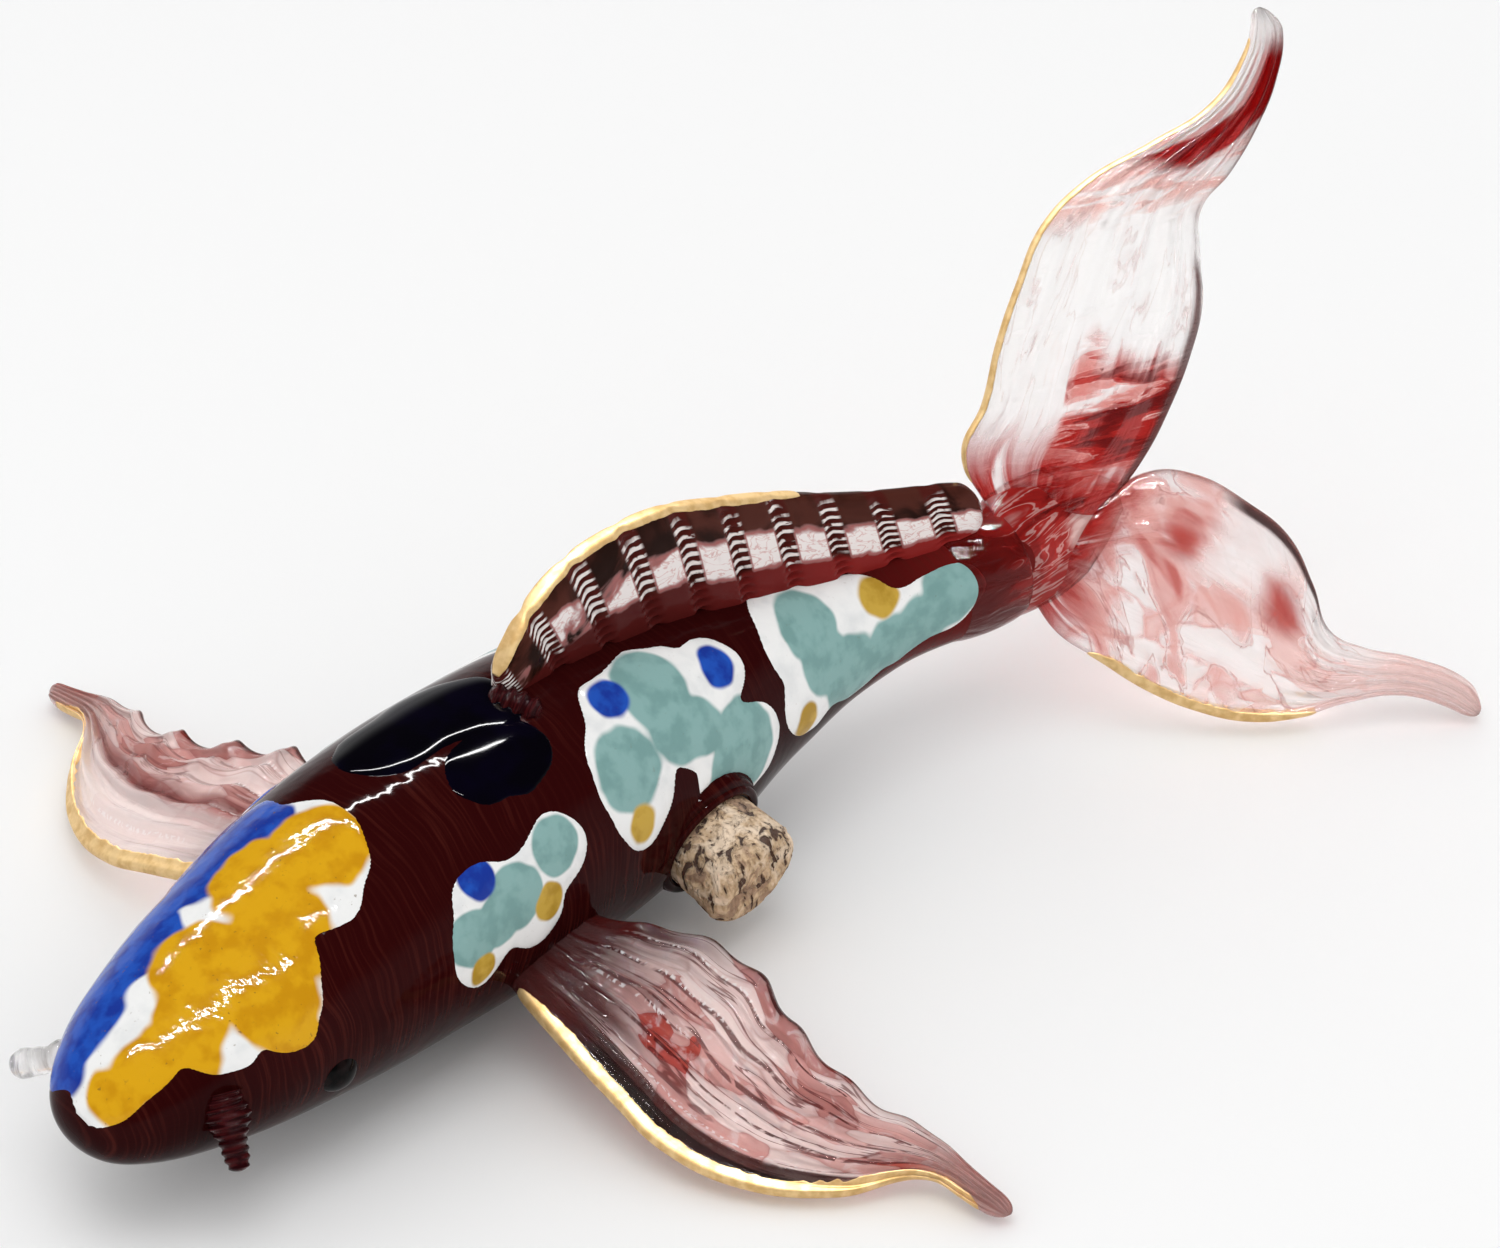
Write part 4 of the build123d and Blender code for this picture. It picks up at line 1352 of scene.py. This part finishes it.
# Front edge (along, across), rear edge (along, across) from the root to the tip.
TAIL_UPPER = [
    (0.01, 0.125, 0.24, 0.025), (-0.01, 0.265, 0.38, 0.125), (0.065, 0.36, 0.48, 0.23),
    (0.135, 0.485, 0.555, 0.33), (0.215, 0.60, 0.61, 0.43), (0.305, 0.71, 0.635, 0.54),
    (0.43, 0.78, 0.665, 0.64), (0.60, 0.82, 0.75, 0.70), (0.745, 0.86, 0.84, 0.785),
    (0.83, 0.925, 0.907, 0.872), (0.88, 1.0, 0.95, 0.975), (0.882, 1.05, 0.945, 1.03),
]
TAIL_LOWER = [
    (0.05, -0.15, 0.25, 0.09), (0.085, -0.29, 0.39, 0.14), (0.16, -0.42, 0.49, 0.085),
    (0.25, -0.57, 0.59, -0.06), (0.35, -0.69, 0.66, -0.21), (0.455, -0.775, 0.685, -0.395),
    (0.57, -0.815, 0.695, -0.565), (0.69, -0.82, 0.76, -0.655), (0.81, -0.85, 0.865, -0.74),
    (0.91, -0.94, 0.97, -0.865), (0.965, -1.022, 1.0, -0.962),
]
TAIL_SIZES = {
    "Thickness": 2.0 * MM, "Root Share": 1.3, "Tip Share": 0.85, "Flutes": 4.5,
    "Flute Depth": 0.42 * MM,
}
for name, rows, span, gilt_span, gilt_width, material in (
    ("upper", TAIL_UPPER, TAIL_UPPER_SPAN, (0.05, 0.95), 0.38, UPPER_FINISH),
    ("lower", TAIL_LOWER, TAIL_LOWER_SPAN, (0.16, 0.66), 0.9, LOWER_FINISH),
):
    spots = [
        [TAIL_ORIGIN + u * TAIL_LENGTH * TAIL_X + v * span * TAIL_Y for u, v in (row[:2], row[2:])]
        for row in rows
    ]
    nodes = ("tail_lobe_" + name, "tail_gilding_" + name)
    fin("koi_tail_" + name, spots, TAIL_SIZES, material, nodes, gilt_span, gilt_width)

# %% Side fins
FIN_START, FIN_REACH, FIN_CHORD, FIN_RISE, FIN_STAGGER = 0.457, 57.2, 17.5, 9.8, 5.5
FIN_LOWEST = 1.15
# Gilded edge (out, back, up) and trailing edge (out, back, up) from the root to the tip.
SIDE_FIN = [
    (0.15, -0.49, 0.88, 0.15, 0.01, 1.02), (0.21, -0.55, 0.83, 0.22, 0.04, 1.00),
    (0.33, -0.63, 0.70, 0.33, 0.27, 0.94), (0.45, -0.67, 0.50, 0.45, 0.33, 0.84),
    (0.55, -0.68, 0.33, 0.54, 0.25, 0.71), (0.67, -0.56, 0.19, 0.64, 0.18, 0.59),
    (0.78, -0.28, 0.15, 0.73, 0.18, 0.48), (0.86, 0.07, 0.21, 0.84, 0.23, 0.40),
    (0.915, 0.10, 0.17, 0.910, 0.22, 0.31), (0.975, 0.10, 0.03, 0.998, 0.23, 0.16),
]
SIDE_SIZES = {
    "Thickness": 2.2 * MM, "Root Share": 1.3, "Tip Share": 0.65, "Flutes": SIDE_FLUTES,
    "Flute Depth": 0.38 * MM, "Scallops": 8.0,
}
for name, sign, stagger, frill in (("left", 1, 0.0, 0.30), ("right", -1, FIN_STAGGER, 0.65)):
    start = FIN_START * BODY_LENGTH - NOSE_REACH - stagger
    spots = [
        [
            np.array([sign * o * FIN_REACH, start + b * FIN_CHORD, max(u * FIN_RISE, FIN_LOWEST)])
            for o, b, u in (row[:3], row[3:])
        ]
        for row in SIDE_FIN
    ]
    sizes = {**SIDE_SIZES, "Scallop Depth": 0.8 * frill * MM, "Ripple": frill * MM}
    nodes = ("pectoral_fin_" + name, "pectoral_gilding_" + name)
    fin("koi_side_fin_" + name, spots, sizes, SIDE_FINISH[name], nodes, (0.08, 0.97), 1.2)

# %% Dorsal fin
DORSAL_START, DORSAL_LENGTH, DORSAL_HEIGHT, ROOT_SINK = 0.466, 50.0, 11.2, 3.0
# Share along the fin and height of its crest.
DORSAL = [
    (0, 0.14), (0.03, 0.36), (0.09, 0.65), (0.17, 0.85), (0.26, 0.955), (0.375, 1),
    (0.515, 0.955), (0.655, 0.865), (0.79, 0.72), (0.91, 0.58), (1, 0.48), (1.07, 0.36),
]
DORSAL_SIZES = {
    "Thickness": 3.0 * MM, "Root Share": 1.0, "Tip Share": 0.95, "Crimps": DORSAL_CRIMPS,
    "Crimp Depth": 0.38, "Teeth": DORSAL_TEETH, "Tooth Depth": 0.24 * MM, "Slant": DORSAL_SLANT,
}
spots = []
for share, height in DORSAL:
    seat = skin(DORSAL_START + share * DORSAL_LENGTH / BODY_LENGTH, 0.0)
    crest = seat + np.array([0, 0, height * DORSAL_HEIGHT])
    spots.append([crest, seat - np.array([0, 0, ROOT_SINK])])
nodes = ("dorsal_fin", "dorsal_gilding")
fin("koi_dorsal", spots, DORSAL_SIZES, DORSAL_FINISH, nodes, (0.0, 0.66), 0.52)

# %% [markdown]
# ## Gather, barbels and eyes
#
# A gather of red glass wraps the stem and flattens into the fan. The barbels are pinched and
# twisted out of hot glass, so a loft with a turning, lobed section makes them. The ringed foot at
# the front of the dorsal fin is made the same way. The eyes are black beads pressed into the
# cheeks.

# %% Loft
RING_COLUMNS = 72


def loft(name, rings, material, between=10):
    """A closed form through rings of points, smoothed between them."""
    rings = np.array(rings)
    last = len(rings) - 1
    fine = np.linspace(0, last, last * between + 1)
    low = np.clip(np.floor(fine).astype(int), 0, last - 1)
    f = (fine - low)[:, None, None]
    p0, p1 = rings[np.maximum(low - 1, 0)], rings[low]
    p2, p3 = rings[low + 1], rings[np.minimum(low + 2, last)]
    square = (2 * p0 - 5 * p1 + 4 * p2 - p3) * f**2
    cube = (3 * p1 - p0 - 3 * p2 + p3) * f**3
    smooth = 0.5 * (2 * p1 + (p2 - p0) * f + square + cube)
    columns = rings.shape[1]
    count = len(fine) * columns
    hubs = [smooth[0].mean(0)[None], smooth[-1].mean(0)[None]]
    faces = grid_faces(len(fine), columns)
    for start, hub in ((0, count), ((len(fine) - 1) * columns, count + 1)):
        faces += [(start + i, start + (i + 1) % columns, hub) for i in range(columns)]
    piece = build(name, np.concatenate([smooth.reshape(-1, 3), *hubs]), faces, material)
    across = 0.5 - 0.5 * np.cos(np.linspace(0, FULL_TURN, columns, endpoint=False))
    for label, values in (
        ("along", np.repeat(fine / fine[-1], columns)),
        ("across", np.tile(across, len(fine))),
    ):
        layer = piece.data.attributes.new(label, "FLOAT", "POINT")
        values = np.concatenate([values, values[:1], values[-1:]])
        layer.data.foreach_set("value", values.astype(np.float32))
    return piece


def oval(centre, x_way, y_way, half_x, half_y, columns=RING_COLUMNS, depth=0.0, twist=0.0):
    """A ring of points, round or pinched into two lobes."""
    angles = np.linspace(0, FULL_TURN, columns, endpoint=False)
    swell = 1 + depth * np.cos(2 * angles)
    x = (half_x * swell * np.cos(angles + twist))[:, None] * np.asarray(x_way)
    y = (half_y * swell * np.sin(angles + twist))[:, None] * np.asarray(y_way)
    return np.asarray(centre) + x + y


# %% Gather
GATHER_SIZE = 13.0
# Share of the length and cover over the skin, where the gather wraps the stem.
GATHER_WRAP = ((0.915, 1.0), (0.93, 1.06), (0.95, 1.10), (0.97, 1.14))
# Along, across, half thickness and half width, where it spreads into the fan.
GATHER_SPREAD = [
    (0.04, 0.03, 0.35, 0.44), (0.32, 0.09, 0.18, 0.46), (0.58, 0.14, 0.085, 0.40),
    (0.80, 0.18, 0.05, 0.25), (0.95, 0.2, 0.02, 0.1),
]


def gather_finish():
    """Dark red at the stem, with clear streaks towards the fan."""
    material, board = new_finish("gather_glass")
    along, across = fin_shares(board)
    threads = flow(board, along, across, (3.0, 6.0), 21.0)
    reach = along + (threads - 0.5) * 0.5
    colour = board.coats(
        STEM_RED,
        (reach.ramp(0.10, 0.56), (0.46, 0.026, 0.022, 1)),
        ((1 - threads).ramp(0.52, 0.62) * along.ramp(0.20, 0.40) * 0.8, (0.12, 0.006, 0.006, 1)),
        (reach.ramp(0.70, 0.86), (0.92, 0.66, 0.62, 1)),
        (creases(threads, 0.02) * along.ramp(0.25, 0.40) * 0.6, PALE_ROSE),
        (threads.ramp(0.55, 0.66) * along.ramp(0.45, 0.60), PALE_ROSE),
    )
    glass(board, colour, 0.5, threads, 0.30, 0.25)
    return material


rings = []
for share, cover in GATHER_WRAP:
    ring = skin(np.full(RING_COLUMNS, share), np.linspace(0, 360, RING_COLUMNS, endpoint=False))
    centre = ring.mean(0)
    rings.append(centre + (ring - centre) * cover)
for a, u, thick, wide in GATHER_SPREAD:
    centre = TAIL_ORIGIN + a * GATHER_SIZE * TAIL_X + u * GATHER_SIZE * TAIL_Y
    rings.append(oval(centre, TAIL_Y, TAIL_Z, wide * GATHER_SIZE, thick * GATHER_SIZE))
gather = loft("koi_tail_gather", rings, gather_finish())
settle(gather, "figurine", "gather_glass", "tail_gather")

# %% Barbels and the dorsal foot
BARBEL_COLUMNS, BARBEL_PINCH, BARBEL_TWIST = 48, 0.10, 0.9
FOOT_PINCH, FOOT_TWIST, FOOT_WIDEN = 0.06, 0.4, 1.15
# Reach and radius along each piece.
LEFT_BARBEL = [
    (reach, (1.75 - 0.24 * max(reach, 0.0)) * (1 + 0.08 * math.cos(reach * 9.0)))
    for reach in np.linspace(-2.0, 4.2, 38)
]
LEFT_BARBEL += [(4.4, 0.5), (4.5, 0.15)]
RIGHT_BARBEL = [
    (-2.0, 1.8), (0.0, 1.5), (1.4, 1.15), (2.6, 1.1), (3.4, 1.25), (4.0, 1.05), (4.4, 0.4),
]
FOOT = [
    (-0.5, 0.5), (0.2, 1.15), (0.7, 0.85), (1.2, 1.3), (1.75, 0.95), (2.3, 1.35), (2.9, 1.0),
    (3.5, 1.2), (4.2, 0.5),
]


def barbel_finish(name, light, dark, see_through, gloss):
    """Glass with rings of a darker shade."""
    material, board = new_finish(name)
    along, across = fin_shares(board)
    rings = flow(board, along, across, (14.0, 1.0), 31.0)
    colour = board.mix(rings.ramp(0.42, 0.60), dark, light)
    glass(board, colour, see_through, rings, 0.2, gloss)
    return material


CLEAR_FINISH = barbel_finish("clear_glass", CLEAR, (0.80, 0.78, 0.77, 1), 0.9, 0.5)
COIL_RED, COIL_DARK = (0.055, 0.006, 0.007, 1), (0.020, 0.002, 0.003, 1)
BARBEL_FINISH = barbel_finish("barbel_red", COIL_RED, COIL_DARK, 0.15, 0.12)
for name, share, turn_deg, run, outline, material, slot in (
    ("left", 0.088, 92.0, (0.55, -0.25, -0.80), LEFT_BARBEL, BARBEL_FINISH, "gather_glass"),
    ("right", 0.047, -88.0, (-0.78, -0.55, -0.30), RIGHT_BARBEL, CLEAR_FINISH, "clear_glass"),
):
    run = unit(np.array(run))
    x_way = unit(np.cross(run, (0.0, 0.0, 1.0)))
    y_way = np.cross(run, x_way)
    seat = skin(share, turn_deg)
    rings = []
    for reach, radius in outline:
        shape = (radius, radius, BARBEL_COLUMNS, BARBEL_PINCH, reach * BARBEL_TWIST)
        rings.append(oval(seat + run * reach, x_way, y_way, *shape))
    settle(loft("koi_barbel_" + name, rings, material), "figurine", slot, "barbel_" + name)

foot_start, foot_end = skin(0.462, 2.0), skin(0.480, 24.0)
run = unit(foot_end - foot_start)
up = unit(skin_normal(0.470, 12.0))
rings = []
for reach, radius in FOOT:
    shape = (radius * FOOT_WIDEN, radius, BARBEL_COLUMNS, FOOT_PINCH, reach * FOOT_TWIST)
    rings.append(oval(foot_start + run * reach, np.cross(run, up), up, *shape))
settle(loft("koi_dorsal_foot", rings, BARBEL_FINISH), "figurine", "gather_glass")

# %% Eyes
EYE_RADIUS, EYE_STAND, EYE_SHARE, EYE_TURN = 2.2, 0.8, 0.190, 104.0
EYE_SHADES = ((0.002, 0.002, 0.002, 1), (0.010, 0.006, 0.006, 1))
EYE_FINISH = black_glass("eye_bead", EYE_SHADES, 0.9, 0.03, 0.06)
for name, sign in (("left", 1), ("right", -1)):
    out = outward(sign * EYE_TURN)
    centre = skin(EYE_SHARE, sign * EYE_TURN) + out * (EYE_STAND - EYE_RADIUS)
    x_way = np.array([0.0, 1.0, 0.0])
    y_way = np.cross(out, x_way)
    rings = []
    for a in np.linspace(-1.5, 1.54, 24):
        radius = EYE_RADIUS * math.cos(a)
        rings.append(oval(centre + out * EYE_RADIUS * math.sin(a), x_way, y_way, radius, radius))
    settle(loft("koi_eye_" + name, rings, EYE_FINISH, 2), "figurine", "eye_glass", "eye_" + name)

# %% [markdown]
# ## Cork
#
# The stopper is natural cork: tan cells with dark, torn pits. Its surface is turned as a fine
# profile and pitted inwards with noise, so it never swells into the glass collar.

# %% Cork finish


def cork_finish():
    """Tan cells with paler and darker clouds, torn pits and pores."""
    material, board = new_finish("cork")
    spot = object_place(board)
    part = board.split(spot)
    drawn = board.xyz(part["X"], part["Y"] + part["Z"] * 0.3, part["Z"] * 0.38)
    cloud = grain(board, spot, 0.34, 4.0, 0.8)
    torn = grain(board, drawn, 0.80, 5.0, 1.0)
    pores = grain(board, drawn, 2.6, 3.0, 0.4)
    colour = board.coats(
        (0.68, 0.49, 0.31, 1),
        (pores.ramp(0.35, 0.65), (0.52, 0.34, 0.19, 1)),
        (cloud.ramp(0.48, 0.60), (0.80, 0.62, 0.45, 1)),
        ((1 - cloud).ramp(0.53, 0.64) * 0.85, (0.34, 0.205, 0.13, 1)),
        (torn.ramp(0.56, 0.61), (0.085, 0.036, 0.018, 1)),
        (pores.ramp(0.64, 0.72) * 0.6, (0.20, 0.10, 0.055, 1)),
    )
    relief = cloud - torn.ramp(0.5, 0.66) - pores.ramp(0.5, 0.7) * 0.4
    sockets = {"Base Color": colour, "Roughness": 0.70 + torn * 0.2, "Specular IOR Level": 0.3}
    shade(board, sockets, relief, 0.30)
    return material


# %% Cork stopper
CORK_EDGE, CORK_COLUMNS = 1.5, 144
CORK_LOW = CORK_OUT - CORK_LENGTH
# Scale, lowest level and depth of the coarse and the fine pits.
COARSE_PITS, FINE_PITS, FINE_SHIFT = (0.75, 0.15, 0.55), (2.4, 0.05, 0.22), Vector((7, 3, 1))
face_shares = np.linspace(0.02, 1.0, 26)
profile = [(s * (cork_radius(CORK_LOW) - CORK_EDGE), CORK_LOW) for s in face_shares]
side_heights = np.linspace(CORK_LOW + CORK_EDGE, CORK_OUT - CORK_EDGE, 64)
profile += [(cork_radius(h), h) for h in side_heights]
profile += [
    (CORK_RADIUS - CORK_EDGE * (1 - math.cos(a)), CORK_OUT - CORK_EDGE * (1 - math.sin(a)))
    for a in np.linspace(0.15, 1.5, 8)
]
profile += [(s * (CORK_RADIUS - CORK_EDGE), CORK_OUT) for s in face_shares[::-1]]
points = lathe(profile, CORK_COLUMNS)


def pit_depth(point):
    """How far a point of the cork is pitted inwards, in millimetres."""
    depth = 0.0
    for (scale, level, deep), shift in ((COARSE_PITS, Vector()), (FINE_PITS, FINE_SHIFT)):
        depth += deep * max(0.0, noise.noise(Vector(point) * scale + shift) - level)
    return depth


middle = NECK_ORIGIN + NECK_Z * (CORK_OUT - CORK_LENGTH / 2)
points = points + unit(middle - points) * np.array([pit_depth(p) for p in points])[:, None]
cork = build("natural_cork", points, capped_faces(len(profile), CORK_COLUMNS), cork_finish())
cork.data.set_sharp_from_angle(angle=math.radians(50))
settle(cork, "cork", "cork", "cork_stopper")

# %% Write the sizes
low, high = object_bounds()
print("visual box in mm:", [round(v / MM, 1) for v in (high - low)])
